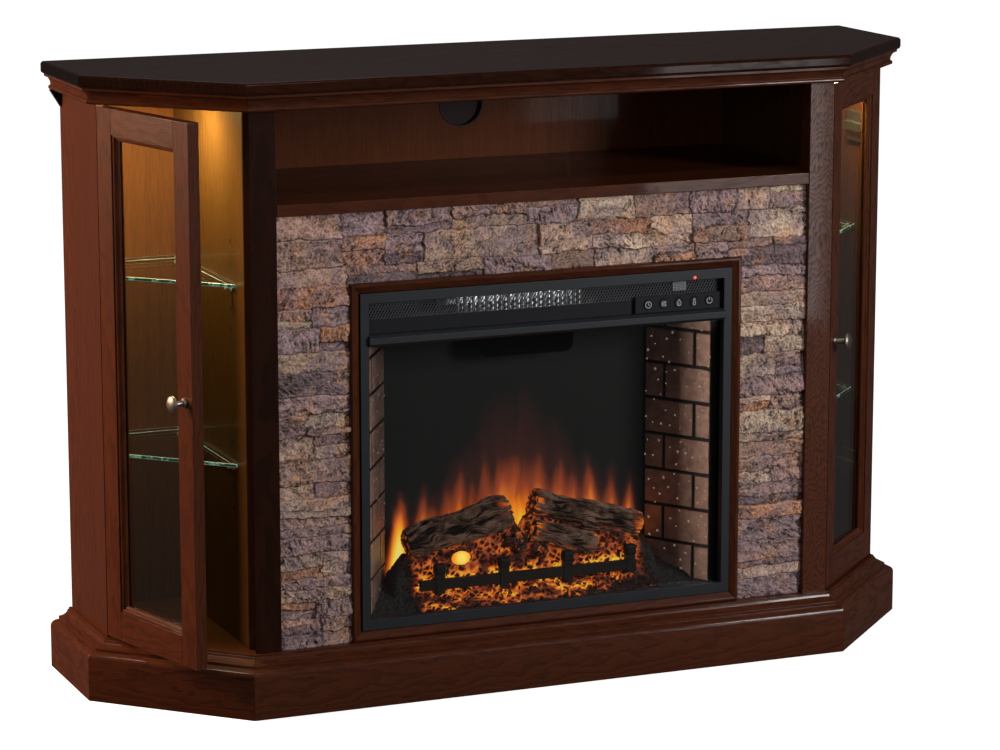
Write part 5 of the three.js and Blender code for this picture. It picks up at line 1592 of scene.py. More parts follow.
# %% Bark finish and logs
def charred_bark():
    finish = Finish("charred_bark")
    place = finish.place()
    raised = finish.attribute("bark", "Fac").rise(-0.35, 0.45)
    glow = finish.attribute("glow", "Color")
    soot = finish.noise(place, 45, 4, 0.6)
    fibre = finish.noise(place, 900, 3, 0.7)
    brown = finish.mix(soot.rise(0.35, 0.65), colour(0.26, 0.140, 0.092), colour(0.70, 0.43, 0.30))
    tone = finish.mix(raised * (fibre * 0.9 + 0.3), colour(0.014, 0.009, 0.007), brown)
    return finish.painted(
        base_color=tone,
        roughness=soot * 0.2 + 0.75,
        normal=finish.bump(fibre, 0.6 * MM),
        emission_color=glow,
        emission_strength=1.1,
        specular_ior_level=0.25,
    )


bark_finish = charred_bark()
for name, plan in LOGS.items():
    piece = link(f"{name}_bark", log_mesh(f"{name}_bark", plan))
    replaced = [name] if name in nodes else []
    settle(piece, "cabinet", "bark", bark_finish, *replaced)
    print(name, "has", len(piece.data.polygons), "faces")

# %% [markdown]
# ## Ember bed
# Under the logs lies a moulded shell, painted with dark chips and lit from below, so light shows in
# the cracks between chips and through thin places. It is a grid over the floor: a slope heaped under
# the logs, broken into chips, with the heat of each point kept for its glow. The sides are dull grey.

# %% Sizes and chips of the bed
# Depths behind the cabinet's front face and the step between rows in each zone: fine on the steep rise.
BED_ZONES = ((20.1, 66.5, 0.7), (66.5, 84.5, 0.22), (84.5, 129.5, 0.9))
BED_COLUMN = 1.5 * MM
BRICK_FRONT_DEPTH = 32 * MM
BED_SIDE_GAP = 8.5 * MM
BED_TAPER = 63 * MM
CHIP = 19
SHARD_SHAPE = 2.1
# Slant and seed of the two sets of cracks.
SHARDS = ((0.75, 13), (-0.5, 29))
FRONT_STRIP = 25
STEEP = (-112, -97)
# Height over the firebox floor along the depth of the bed, in millimetres.
BED_PROFILE_Y = (-158, -150, -138, -122, -112, -104, -94, -70, -49)
BED_PROFILE_Z = (4, 7, 15, 22, 25, 46, 58, 62, 64)
BED_LEFT = -196
BED_RIGHT = 192
FRONT_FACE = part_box("media_shelf")[0].y
WALL_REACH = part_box("brick_wall_right")[1].x


def chips(across, along, size, seed):
    """Nearest and second nearest of one random spot in each cell, and the nearest one's own number."""
    base = np.floor(stack(across / size, along / size)).astype(int)
    best = np.full(across.shape, 9.0)
    second = np.full(across.shape, 9.0)
    owner = np.zeros(across.shape)
    for step in np.ndindex(3, 3):
        cell = base + np.array(step) - 1
        spots = [cell_value(stack(cell[..., 0], cell[..., 1], k), seed) for k in (0, 1, 2)]
        gap = np.hypot(across / size - cell[..., 0] - spots[0], along / size - cell[..., 1] - spots[1])
        nearer = gap < best
        second = np.where(nearer, best, np.minimum(second, gap))
        owner = np.where(nearer, spots[2], owner)
        best = np.where(nearer, gap, best)
    return best, second, owner


# %% Height and heat of the bed
def bed_level(x, y):
    """Height over the floor in millimetres, at places in millimetres: a stepped heap, low at both ends."""
    middle = plateau(x, BED_LEFT - 26, BED_LEFT + 16, BED_RIGHT - 16, BED_RIGHT + 26)
    heap = np.interp(y, BED_PROFILE_Y, BED_PROFILE_Z)
    tray = 5 + 31 * smoothstep(y, -152, -50)
    waves = 7 * rough(stack(x / 26, y / 18, 0 * x), 51, 3) * smoothstep(y, -158, -118)
    height = tray + (heap - tray) * middle + waves
    for plan in LOGS.values():
        start = plan["start"]
        end = plan["end"]
        t = np.clip((x - start[0]) / (end[0] - start[0]), 0, 1)
        middle_y = SCREEN / MM - (start[1] + (end[1] - start[1]) * t)
        middle_z = start[2] + (end[2] - start[2]) * t
        past = np.maximum(np.maximum(start[0] - x, x - end[0]), 0)
        away = np.hypot(past, np.maximum(np.abs(y - middle_y) - 4, 0)) / plan["radius"]
        under = middle_z - plan["radius"] * (0.6 + 1.3 * away**2)
        height = np.maximum(height, np.where((away < 1.6) & (y > -110), under, 0))
    low_part = np.minimum(height, FRONT_STRIP)
    return low_part + (height - low_part) * smoothstep(y, *STEEP)


def bed_heat(x, y, height, seam, owner, crumple):
    """How hot each point looks: orange by the bar, dull red in the cracks higher up, cold at the ends."""
    ends = plateau(x, BED_LEFT, BED_LEFT + 14, BED_RIGHT - 18, BED_RIGHT)
    lower = -153 + 22 * smoothstep(x, 60, 180) + 12 * rough(stack(x / 16, 0 * x, 0 * x), 5, 3)
    front = smoothstep(y, lower, lower + 8)
    near_bar = np.exp(-(((height - 34) / 13) ** 2))
    lit = np.maximum(near_bar, 1 - smoothstep(height, 26, 32))
    rise = 0.34 + 0.66 * lit * (1 - smoothstep(height, 50, 64))
    patch = 0.30 + 1.15 * smoothstep(rough(stack(x / 19, y / 12, height / 15), 29, 3), -0.25, 0.35)
    yellow = 0.25 * smoothstep(rough(stack(x / 30, y / 20, height / 30), 61, 2), 0.0, 0.3)
    cracks = (1 - seam) * (0.92 + 0.35 * crumple)
    leaves = 0.26 * smoothstep(owner, 0.55, 0.95) * smoothstep(crumple, -0.25, 0.25)
    strip = 0.44 + 0.56 * smoothstep(height, FRONT_STRIP, FRONT_STRIP + 8)
    strip = strip + 0.30 * smoothstep(rough(stack(x / 42, y / 30, 0 * x), 83, 2), 0.05, 0.3)
    heat = ends * front * rise * (patch + yellow) * np.maximum(cracks, leaves)
    return 0.84 * heat * np.minimum(strip, 1.1)


# %% Shell mesh
def ember_shell():
    """The shell as a grid of points, with the heat and the chip number of each."""
    rows = [np.arange(near, far, step) for near, far, step in BED_ZONES]
    depths = np.concatenate(rows) * MM
    lean = np.clip((depths - BRICK_FRONT_DEPTH) / (SCREEN - FRONT_FACE - BRICK_FRONT_DEPTH), 0, 1)
    half = WALL_REACH - BED_SIDE_GAP - lean * BED_TAPER
    x = half[:, None] * np.linspace(-1, 1, round(2 * half.max() / BED_COLUMN))[None, :] / MM
    y = (FRONT_FACE + depths)[:, None] / MM + 0 * x
    height = bed_level(x, y)
    step = np.gradient(y, axis=0)
    rise = np.gradient(height, axis=0) / step
    along = np.cumsum(np.hypot(1, rise) * step, axis=0)
    wander = 2.0 * rough(stack(x / 6, along / 6, 0 * x), 3, 3)
    seam = np.ones_like(x)
    for slant, seed in SHARDS:
        run = x * math.cos(slant) + along * math.sin(slant) + wander
        across = along * math.cos(slant) - x * math.sin(slant) + wander
        best, second, owner = chips(run, SHARD_SHAPE * across, CHIP, seed)
        seam = np.minimum(seam, smoothstep(second - best, 0.02, 0.34))
    crumple = rough(stack(x / 3.4, along / 5.5, 0 * x), 41, 3)
    ends = plateau(x, BED_LEFT - 12, BED_LEFT, BED_RIGHT, BED_RIGHT + 12)
    lift = (seam * (0.6 + 3.4 * owner) + crumple * 3.2) * (0.4 + 0.6 * ends) - 2
    steep = np.hypot(1, rise)
    back = np.clip(rise / steep, 0, 1) * lift
    points = stack(x * MM, (y - back) * MM, FLOOR + np.maximum(height + lift / steep, 1) * MM)
    points[0, :, 1] = FRONT_FACE + depths[0]
    mesh = slab("ember_shell", points, 2, FLOOR + 0.3 * MM)
    store(mesh, "glow", fire_colour(bed_heat(x, y, height, seam, owner, crumple)).reshape(-1, 3))
    store(mesh, "chip", (seam * (0.4 + 0.6 * owner) * ends).ravel())
    return mesh


# %% Ember finish and shell
def ember_finish():
    finish = Finish("ember_paint")
    place = finish.place()
    chip = finish.attribute("chip", "Fac")
    glow = finish.attribute("glow", "Color")
    grit = finish.noise(place, 700, 3, 0.7)
    ash = finish.noise(place, 90, 4, 0.6)
    tray = finish.mix(grit.rise(0.3, 0.7), colour(0.010, 0.010, 0.010), colour(0.11, 0.105, 0.10))
    char = finish.mix(ash, colour(0.022, 0.011, 0.007), colour(0.13, 0.040, 0.018))
    tone = finish.mix(chip.rise(0.02, 0.3), tray, char)
    return finish.painted(
        base_color=tone,
        roughness=grit * 0.15 + 0.78,
        normal=finish.bump(grit, 0.8 * MM),
        emission_color=glow,
        emission_strength=1.15,
        specular_ior_level=0.3,
    )


ember_paint = ember_finish()
shell = settle(link("ember_shell", ember_shell()), "cabinet", "ember", ember_paint, "ember_bed")
print("ember shell has", len(shell.data.polygons), "faces")

# %% [markdown]
# ## Lit bulb among the coals
# One spot on the left is brighter than any ember: a bulb that shines through a thin place in the
# shell. A small lumpy ball stands for it, yellow at its heart and orange at its rim.

# %% Lit bulb
GLOW_PLACE = Vector((-0.1114, -0.103, FLOOR + 0.068))
GLOW_HALF = (15 * MM, 6 * MM, 10.5 * MM)


def glow_lump():
    work = bmesh.new()
    bmesh.ops.create_icosphere(work, subdivisions=4, radius=1)
    for vert in work.verts:
        swell = 1 + 0.10 * float(rough(np.array([[*(vert.co * 1.3)]]), 3, 2)[0])
        vert.co = GLOW_PLACE + Vector([part * half * swell for part, half in zip(vert.co, GLOW_HALF)])
    finish = Finish("glow_lump")
    ends = [finish.place(), GLOW_PLACE]
    apart = finish.add("ShaderNodeVectorMath", {"operation": "DISTANCE"}, ends, "Value")
    heart = finish.mix(apart.rise(6 * MM, 14.5 * MM), colour(1.0, 0.74, 0.12), colour(1.0, 0.36, 0.01))
    warm = finish.painted(base_color=heart, emission_color=heart, emission_strength=1.2)
    return settle(link("glow_lump", mesh_from(work, "glow_lump")), "cabinet", "ember", warm)


print("the bulb has", len(glow_lump().data.polygons), "faces")

# %% [markdown]
# ## Loose coals
# Small burnt lumps lie on the glowing middle of the shell. Each is a ball of few faces whose points
# are pushed about at random, so they cost little, and Geometry Nodes turns and sizes every copy.

# %% Loose coals
COALS_HALF = 178 * MM
COALS_FRONT = -152 * MM
COALS_BACK = SCREEN - 12 * MM


def char_finish():
    finish = Finish("loose_char")
    place = finish.place()
    grain = finish.noise(place, 520, 4, 0.7)
    # The orange spots that give off light are painted glow on the coals, for the light of the shell below.
    hot = finish.noise(place, 150, 3, 0.6).rise(0.56, 0.70)
    tone = finish.mix(grain, colour(0.008, 0.006, 0.005), colour(0.050, 0.022, 0.014))
    glow = finish.mix(hot, colour(0, 0, 0), colour(0.9, 0.16, 0.01))
    return finish.painted(
        base_color=tone,
        roughness=grain * 0.2 + 0.7,
        emission_color=glow,
        emission_strength=0.8,
        normal=finish.bump(grain, 0.8 * MM),
    )


def carries_coals(face):
    """True for a face of the shell that is in the glowing middle and not too steep."""
    middle = face.calc_center_median()
    inside = -COALS_HALF < middle.x < COALS_HALF and COALS_FRONT < middle.y < COALS_BACK
    return inside and face.normal.z >= 0.2


def loose_coals(char):
    """Lumps of char, pushed out of round, over the shell."""
    sizes = {"Spacing": 12.5 * MM, "Density": 5000.0, "Size": 3.9 * MM, "Seed": 12}
    growth = Growth("loose_coals", char, **sizes)
    scattered = growth.scatter()
    ball = {"Radius": growth.size("Size"), "Subdivisions": 2}
    lump = growth.add("GeometryNodeMeshIcoSphere", values=ball)
    jitter = growth.random_vector((-1.1,) * 3, (1.1,) * 3, 5)
    push = {0: jitter, "Scale": growth.size("Size") * 0.34}
    pushed = growth.add("ShaderNodeVectorMath", {"operation": "SCALE"}, push)
    chunk = growth.add("GeometryNodeSetPosition", values={"Geometry": lump, "Offset": pushed})
    turn = growth.random_vector((0.0,) * 3, (6.3,) * 3, 9)
    scale = growth.random_vector((0.8, 0.35, 0.3), (2.1, 0.9, 0.6), 4)
    placed = growth.place_on(scattered, chunk, turn, scale)
    return growth.grow("loose_coals", placed, faces_where(shell.data, carries_coals))


char = char_finish()
coals = settle(loose_coals(char), "cabinet", "ember", char)
print("coals have", len(coals.data.polygons), "faces")

# %% [markdown]
# ## Grate
# A flat cast bar with four posts stands in front of the logs. Cast iron is dark and grainy. Each post
# ends in a rounded cap that is wider than the post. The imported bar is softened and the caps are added
# as rounded blocks.

# %% Grate
def cast_iron():
    finish = Finish("cast_iron")
    place = finish.place()
    sand = finish.noise(place, 800, 3, 0.7)
    rust = finish.noise(place, 60, 4, 0.6)
    tone = finish.mix(rust, colour(0.006, 0.006, 0.006), colour(0.030, 0.024, 0.020))
    return finish.painted(base_color=tone, roughness=sand * 0.2 + 0.5, normal=finish.bump(sand, 0.5 * MM))


CAP_WIDTH = 19 * MM
CAP_HEIGHT = 17 * MM
CAP_SPARE = 3 * MM
CAP_LIFT = 2 * MM
CAP_ROUNDING = 5 * MM
iron = cast_iron()
softened("grate", "grate_iron", iron, 1.5 * MM, 3)


def grate_caps():
    """Rounded blocks over the posts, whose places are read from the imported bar."""
    low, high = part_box("grate")
    tops = sorted({round(v.co.x, 4) for v in nodes["grate"].data.vertices if v.co.z > high.z - MM})
    posts = [(a + b) / 2 for a, b in zip(tops[::2], tops[1::2])]
    middle = (low.y + high.y) / 2
    work = bmesh.new()
    for x in posts:
        made = bmesh.ops.create_cube(work, size=1)["verts"]
        size = (CAP_WIDTH, high.y - low.y + CAP_SPARE, CAP_HEIGHT)
        bmesh.ops.scale(work, vec=size, verts=made)
        bmesh.ops.translate(work, vec=(x, middle, high.z - CAP_HEIGHT / 2 + CAP_LIFT), verts=made)
    piece = link("grate_caps", mesh_from(work, "grate_caps"))
    round_edges(piece, CAP_ROUNDING, 5)
    settle(piece, "cabinet", "grate_iron", iron)
    return posts


print("grate posts at", [round(x, 3) for x in grate_caps()])

# %% [markdown]
# ## Firebox front
# The steel frame is powder coated. Behind its header lies a mesh of slanting wires over a plain band.
# Two families of short bars cross on a line of points, one leaning each way. The heater behind it is
# a folded aluminium strip, which glints through the wires.

# %% Frame and hidden metal
firebox_screens.objects.link(softened("firebox_front_frame", "black_steel", black_steel, 0.7 * MM, 3))
firebox_screens.objects.link(nodes["firebox_case"])
HIDDEN_METAL = {
    "firebox_case": case_steel,
    "cord_gland": gloss_plastic,
    "blower_wheel": aluminium,
    "flame_rotor": foil,
    # The heater's block is painted near black: painted shade in the gaps behind the folded strip.
    "heating_element": case_steel,
}
for node, material in HIDDEN_METAL.items():
    paint(node, material)
print("packed pieces painted as they are:", 1 + len(HIDDEN_METAL))

# %% Grille
BAND_FOOT = 561.2 * MM
BAND_HEAD = 584.2 * MM
BAND_HALF = 277 * MM
WIRE_PITCH = 4.6 * MM
WIRE_LEAN = 13 * MM
WIRE_WIDTH = 1.5 * MM
WIRE_DEPTH = 1.0 * MM
FAINT_SHARE = 0.3


def wire_mesh(near, far):
    """Two families of slanting bars; the second is the thinner one."""
    tall = BAND_HEAD - BAND_FOOT
    count = int((2 * BAND_HALF + WIRE_LEAN) / WIRE_PITCH)
    sizes = {"Pitch": WIRE_PITCH, "Wire": WIRE_WIDTH, "Depth": far - near, "Count": count}
    growth = Growth("crossed_wires", wire_steel, Length=math.hypot(tall, WIRE_LEAN), **sizes)
    start = growth.vector(-(count - 1) / 2 * WIRE_PITCH, (near + far) / 2, (BAND_FOOT + BAND_HEAD) / 2)
    step = growth.vector(growth.size("Pitch"), 0, 0)
    values = {"Count": growth.size("Count"), "Start Location": start, "Offset": step}
    line = growth.add("GeometryNodeMeshLine", {"mode": "OFFSET"}, values)
    section = growth.vector(growth.size("Wire"), growth.size("Depth"), growth.size("Length"))
    bar = growth.add("GeometryNodeMeshCube", values={"Size": section})
    lean = math.atan2(WIRE_LEAN, tall)
    both = growth.add("GeometryNodeJoinGeometry")
    for turn, share in ((lean, 1.0), (-lean, FAINT_SHARE)):
        family = growth.place_on(line, bar, (0, turn, 0), (share, 1, 1))
        growth.tree.links.new(family.output, both.output.node.inputs[0])
    return growth.grow("grille_wires", both)


low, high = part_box("heater_grille")
plates = [
    box_shell(low, (high.x, high.y, BAND_FOOT)),
    box_shell((low.x, low.y, BAND_HEAD), high),
    box_shell((low.x, low.y, BAND_FOOT), (-BAND_HALF, high.y, BAND_HEAD)),
    box_shell((BAND_HALF, low.y, BAND_FOOT), (high.x, high.y, BAND_HEAD)),
]
settle(joined("grille_plate", plates), "cabinet", "grille_steel", grille_steel, "heater_grille")
wires = settle(wire_mesh(low.y, low.y + WIRE_DEPTH), "cabinet", "grille_steel", wire_steel)
print("wires have", len(wires.data.polygons), "faces")

# %% Heater
FOLD_PITCH = 3.5 * MM
FOLD_SHEET = 1.1 * MM
FOLD_INSET = 0.6 * MM
RAIL_HEIGHT = 3 * MM
GLINT_SIZE = (0.20, 0.012)
GLINT_WATTS = 1.5


def folded_strip():
    """A strip folded to and fro between the heater's rails."""
    low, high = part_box("heating_element")
    count = int((high.x - low.x) / FOLD_PITCH)
    points = []
    for i in range(count + 1):
        x = low.x + i * FOLD_PITCH
        y = low.y + FOLD_INSET if i % 2 == 0 else high.y - FOLD_INSET
        points += [(x, y, low.z + RAIL_HEIGHT), (x, y, high.z - RAIL_HEIGHT)]
    faces = [(2 * i, 2 * i + 2, 2 * i + 3, 2 * i + 1) for i in range(0, count, 2)]
    mesh = bpy.data.meshes.new("heater_folds")
    mesh.from_pydata(points, [], faces)
    piece = link("heater_folds", mesh)
    sheet = piece.modifiers.new("sheet", "SOLIDIFY")
    sheet.thickness = FOLD_SHEET
    sheet.offset = 0
    return settle(piece, "cabinet", "heater_metal", aluminium)


print("the strip has", len(folded_strip().data.polygons), "folds")
low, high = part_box("heating_element")
glint_place = Vector((-20 * MM, low.y - 35 * MM, high.z - 12 * MM))
glint_aim = glint_place + Vector((0, 1, -0.35))
softbox("heater_glint", glint_place, glint_aim, *GLINT_SIZE, GLINT_WATTS)

# %% [markdown]
# ## Control strip
# Five round touch points stand on a gloss black strip: a clock, heat, flame, thermometer and power.
# Each printed icon is a thin ribbon along a few strokes, laid on its key, and it moves with the key.

# %% Keys and icons
ICON_STROKE = 1.0 * MM
ICON_GROWTH = 1.2
ICON_LIFT = 0.08 * MM
KEY_EDGE = 0.5 * MM


def ring_stroke(radius, start=0, end=360, steps=28):
    """A round stroke, from a start to an end angle in degrees, clockwise from the top."""
    turns = [math.radians(start + (end - start) * i / steps) for i in range(steps + 1)]
    return [(radius * math.sin(t), radius * math.cos(t)) for t in turns]


def wave_stroke(across):
    """A rising wavy line."""
    return [(across + 0.8 * math.sin(1.9 * t), -3.2 + 6.4 * t / 5) for t in np.linspace(0, 5, 20)]


CLOCK_HANDS = [(0, 2.3), (0, 0), (1.9, -0.9)]
FLAME_OUTLINE = [
    (0, 4.2), (-1.1, 2.3), (-2.6, 0.4), (-2.7, -1.8), (-1.3, -3.7), (1.2, -3.7),
    (2.7, -1.7), (2.2, 0.9), (1.2, 1.7), (0.9, 3.0), (0, 4.2),
]
FLAME_HEART = [(0, -2.8), (-0.7, -1.6), (0.3, -0.2)]
THERMOMETER_TUBE = [(-0.9, -1.4), (-0.9, 3.4), (0, 4.2), (0.9, 3.4), (0.9, -1.4)]
THERMOMETER_BULB = [(x, z - 2.6) for x, z in ring_stroke(1.7, 30, 330)]
ICONS = {
    "timer": [ring_stroke(3.9), CLOCK_HANDS],
    "heat": [wave_stroke(-2.2), wave_stroke(0), wave_stroke(2.2)],
    "flame": [FLAME_OUTLINE, FLAME_HEART],
    "temperature": [THERMOMETER_TUBE, THERMOMETER_BULB],
    "power": [ring_stroke(3.6, 32, 328), [(0, 4.4), (0, 0.6)]],
}


def ribbon(stroke, centre, near):
    """A thin raised strip along a stroke of (across, up) in millimetres."""
    line = np.array(stroke) * ICON_GROWTH * MM
    ahead = np.roll(line, -1, axis=0) - np.roll(line, 1, axis=0)
    if np.hypot(*(line[0] - line[-1])) > 0.1 * MM:
        ahead[0] = line[1] - line[0]
        ahead[-1] = line[-1] - line[-2]
    length = np.hypot(ahead[:, 0], ahead[:, 1])[:, None]
    side = stack(-ahead[:, 1], ahead[:, 0]) / length * ICON_STROKE / 2
    points = []
    far = near + ICON_LIFT
    for here, aside in zip(line, side):
        one = here + aside
        other = here - aside
        for spot, y in ((one, near), (other, near), (other, far), (one, far)):
            points.append((centre.x + spot[0], y, centre.z + spot[1]))
    faces = []
    for i in range(len(line) - 1):
        for k in range(4):
            faces.append((4 * i + k, 4 * i + (k + 1) % 4, 4 * i + 4 + (k + 1) % 4, 4 * i + 4 + k))
    last = 4 * (len(line) - 1)
    faces += [(0, 1, 2, 3), (last, last + 1, last + 2, last + 3)]
    return points, faces


softened("control_strip", "control_plastic", gloss_plastic, 0.5 * MM)
for key, strokes in ICONS.items():
    low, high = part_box(f"{key}_button")
    centre = (low + high) / 2
    radius = (high.z - low.z) / 2
    depth = high.y - low.y
    profile = [(0, 0), (radius, 0), (radius, depth - KEY_EDGE), (radius - KEY_EDGE, depth), (0, depth)]
    disc = lathe("key_disc", profile, Vector((centre.x, high.y, centre.z)), front, 48)
    settle(link(f"{key}_disc", disc), f"{key}_key", "control_plastic", gloss_plastic, f"{key}_button")
    ribbons = [ribbon(stroke, centre, low.y - ICON_LIFT) for stroke in strokes]
    settle(joined(f"{key}_icon", ribbons), f"{key}_key", "control_plastic", icon_glow)
print("keys:", ", ".join(ICONS))

# %% [markdown]
# ## Display and indicator
# A small display stands over the keys, pale behind a screen of dots, and beside it on the frame glows
# a red point. Both are tiny, so a rounded block and a low dome are enough.

# %% Display and indicator
DISPLAY_X = (202 * MM, 225 * MM)
DISPLAY_Z = (570.5 * MM, 584.5 * MM)
DISPLAY_PROUD = (1.2 * MM, 0.1 * MM)
INDICATOR_X = 233.5 * MM
INDICATOR_Z = 590.5 * MM
FRAME_SETBACK = 2 * MM
DOT_PROFILE = [(0, -0.5), (2.3, -0.5), (2.3, 0.1), (1.6, 0.4), (0, 0.5)]
grille_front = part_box("heater_grille")[0].y
front_corner, back_corner = [
    (x, grille_front - proud, z) for x, proud, z in zip(DISPLAY_X, DISPLAY_PROUD, DISPLAY_Z)
]
window = joined("display_window", [box_shell(front_corner, back_corner)])
round_edges(window, 0.6 * MM)
settle(window, "cabinet", "control_plastic", window_dots)
frame_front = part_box("trim_top")[0].y + FRAME_SETBACK
place = Vector((INDICATOR_X, frame_front, INDICATOR_Z))
dot = lathe("indicator", in_metres(DOT_PROFILE), place, front, 20)
settle(link("indicator_dot", dot), "cabinet", "control_plastic", red_glow)
print("display and indicator are", round((INDICATOR_X - DISPLAY_X[1]) / MM, 1), "mm apart")

# %% [markdown]
# ## Back and hidden sides
# The back panel is nailed along its edges, and the case of the firebox is screwed together. Screws
# are placed by Geometry Nodes on the corners and edges of a rectangle, at a steady spacing.

# %% Nails and screws
def studded(name, material, corners, spacing, radius, lift):
    """Low round heads along a closed run of corners, facing the back."""
    growth = Growth(f"{name}_tree", material, Spacing=spacing, Radius=radius, Lift=lift)
    curve = growth.add("GeometryNodeMeshToCurve", values={"Mesh": growth.entry})
    along = {"Curve": curve, "Length": growth.size("Spacing")}
    spaced = growth.add("GeometryNodeCurveToPoints", {"mode": "LENGTH"}, along)
    foot = growth.size("Radius")
    cone = {"Vertices": 12, "Radius Top": foot * 0.8, "Radius Bottom": foot, "Depth": growth.size("Lift")}
    head = growth.add("GeometryNodeMeshCone", values=cone)
    run = bpy.data.meshes.new(f"{name}_run")
    count = len(corners)
    run.from_pydata(corners, [(i, (i + 1) % count) for i in range(count)], [])
    return growth.grow(name, growth.place_on(spaced, head, (-math.pi / 2, 0, 0)), run)


def upright_run(left, right_end, foot, head, y):
    """The corners of an upright rectangle."""
    return [(left, y, foot), (right_end, y, foot), (right_end, y, head), (left, y, head)]


NAIL_INSET = 7 * MM
NAIL_SPACING = 135 * MM
low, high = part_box("back_panel")
edges = (low.x + NAIL_INSET, high.x - NAIL_INSET, low.z + NAIL_INSET, high.z - NAIL_INSET)
nails = studded("panel_nails", nickel, upright_run(*edges, high.y), NAIL_SPACING, 2.6 * MM, 0.8 * MM)
settle(nails, "cabinet", "nickel", nickel)

SCREW_EDGE = 12 * MM
SCREW_SPACING = 115 * MM
CASE_HEIGHT = 470 * MM
low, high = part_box("firebox_case")
case_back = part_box("cord_gland")[0].y - 0.3 * MM
edges = (low.x + SCREW_EDGE, high.x - SCREW_EDGE, high.z - CASE_HEIGHT, high.z - SCREW_EDGE)
screws = studded("case_screws", nickel, upright_run(*edges, case_back), SCREW_SPACING, 3.2 * MM, 1.4 * MM)
settle(screws, "cabinet", "nickel", nickel)
print("nails and screws:", len(nails.data.polygons) + len(screws.data.polygons), "faces")

# %% [markdown]
# ## Cable flap
# The hole in the back panel is closed by a dark rubber disc in a thin sleeve. It is slit like a cake,
# so that a plug can be pushed through. Eight flat wedges with a hair's breadth between them show the
# slits as real gaps.

# %% Cable flap
FLAP_CENTRE = Vector((0, 0.1735, 0.8215))
FLAP_RADIUS = 34.6 * MM
FLAP_SHEET = 1.6 * MM
FLAP_TIP = 0.2 * MM
FLAP_WEDGES = 8
FLAP_STEPS = 9
# Half the angle of a slit, in radians.
FLAP_SLIT = 0.002
SLEEVE_PROFILE = [
    (33.2, 0), (34.9, 0), (34.9, -5.6), (36.4, -5.9), (36.4, -7.2), (33.6, -7.2), (33.2, -6.6), (33.2, 0),
]


def cable_flap():
    """Eight rubber wedges and the sleeve round them."""
    shells = []
    for i in range(FLAP_WEDGES):
        turns = np.linspace(i, i + 1, FLAP_STEPS) * 2 * math.pi / FLAP_WEDGES
        turns = turns + FLAP_SLIT * np.linspace(1, -1, FLAP_STEPS)
        middle = (turns[0] + turns[-1]) / 2
        spokes = [(FLAP_TIP, middle), *[(FLAP_RADIUS, turn) for turn in turns]]
        outline = [(reach * math.sin(turn), reach * math.cos(turn)) for reach, turn in spokes]
        depths = (0, FLAP_SHEET)
        points = [FLAP_CENTRE + Vector((across, y, up)) for y in depths for across, up in outline]
        count = len(outline)
        faces = [tuple(range(count)), tuple(range(count, 2 * count))]
        faces += [(k, (k + 1) % count, count + (k + 1) % count, count + k) for k in range(count)]
        shells.append((points, faces))
    shells.append(turned(SLEEVE_PROFILE, FLAP_CENTRE, (0, 1, 0), 72))
    return settle(joined("cable_flap", shells), "cabinet", "control_plastic", flap_rubber)


print("the flap has", len(cable_flap().data.polygons), "faces")

# %% [markdown]
# ## Corner blocks and spare pin holes
# Blocks under the back ends of the crown brace it against the side panels. They are painted near
# black, as painted shade under the crown's overhang. The dividers have rows of spare holes, so that
# a shelf can be set higher or lower. In a dark cabinet a shallow black dish reads the same as a
# drilled hole, and it leaves the board whole; its black is painted shade, for the dark inside a hole.

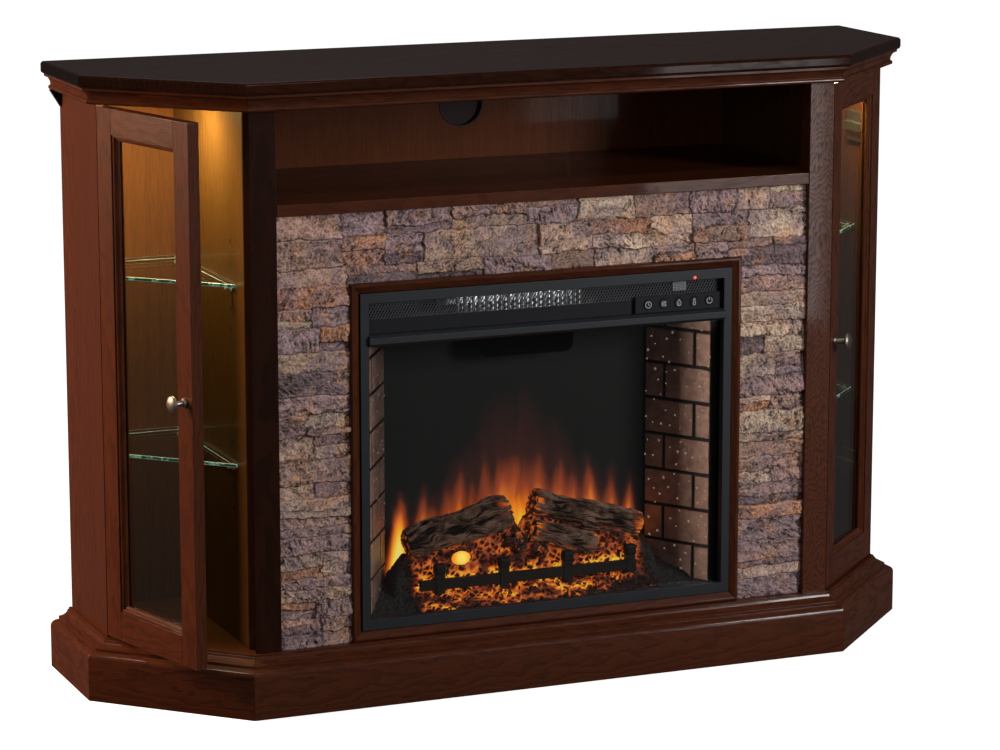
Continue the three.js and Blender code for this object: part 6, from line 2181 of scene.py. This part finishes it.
# %% Corner blocks
BLOCK_DROP = 26 * MM
BLOCK_REACH = 16 * MM
BLOCK_DEPTH = 12 * MM
BLOCK_GAP = 0.3 * MM
crown_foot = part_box("crown_left")[0].z
panel_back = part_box("left_side_panel")[1].y
for side, way in SIDES:
    outer = way * (HALF_WIDTH + BLOCK_GAP)
    head = crown_foot - BLOCK_GAP
    outline = [(outer, crown_foot - BLOCK_DROP), (outer, head), (outer + way * BLOCK_REACH, head)]
    points = [Vector((x, y, z)) for y in (panel_back - BLOCK_DEPTH, panel_back) for x, z in outline]
    faces = [(0, 1, 2), (3, 4, 5), (0, 1, 4, 3), (1, 2, 5, 4), (2, 0, 3, 5)]
    block = joined(f"{side}_corner_block", [(points, faces)])
    round_edges(block, 0.4 * MM, 1)
    # Near-black paint: painted shade under the crown's overhang.
    settle(block, "cabinet", "black_steel", case_steel)
print("corner blocks hang", round(BLOCK_DROP / MM), "mm down")

# %% Spare pin holes
HOLE_STEP = 32 * MM
HOLE_FRONT = -90 * MM
HOLE_PROFILE = [(0, -0.3), (2.2, -0.3), (3.1, 0.05), (3.1, 0.25), (2.2, 0.25), (0, -0.1)]
for side, way in SIDES:
    shells = []
    for step in (-2, -1, 1, 2):
        for level in LEVELS:
            shelf_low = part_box(f"{side}_glass_shelf_{level}")[0].z
            for y in (HOLE_FRONT, back_face - PIN_SETBACK):
                place = Vector((divider_faces[side], y, shelf_low + step * HOLE_STEP))
                shells.append(turned(HOLE_PROFILE, place, (way, 0, 0), 14))
    # Near-black plastic: painted shade, for the dark inside a drilled hole.
    settle(joined(f"{side}_pin_holes", shells), "cabinet", "control_plastic", gloss_plastic)
print("spare holes on each side:", len(shells))

# %% [markdown]
# ## Floor
# A plain pale floor reaches past the camera's view on every side, so it is also the backdrop.

# %% Stage
FLOOR_REACH = 40
NEAR_REACH = (0.9, 2.4)
ground_mesh = bpy.data.meshes.new("studio_floor")
square = [(x * FLOOR_REACH, y * FLOOR_REACH, 0) for x, y in ((-1, -1), (1, -1), (1, 1), (-1, 1))]
ground_mesh.from_pydata(square, [], [(0, 1, 2, 3)])
ground = link("studio_floor", ground_mesh)
ground.visible_glossy = False
ground.visible_diffuse = False
finish = Finish("pale_floor")
across, back, _ = finish.split(finish.place())
away = ((across ** 2 + back ** 2) ** 0.5).rise(*NEAR_REACH)
paper = finish.mix(finish.noise(finish.place(), 3), colour(0.80, 0.80, 0.80), colour(0.83, 0.83, 0.83))
shine = finish.mix(away, colour(0.78, 0.78, 0.78), colour(1, 1, 1))
pale = finish.painted(
    base_color=paper,
    roughness=0.9,
    specular_ior_level=0.1,
    emission_color=shine,
    emission_strength=1.0,
)
ground.data.materials.append(pale)
print("the floor reaches", FLOOR_REACH, "m")
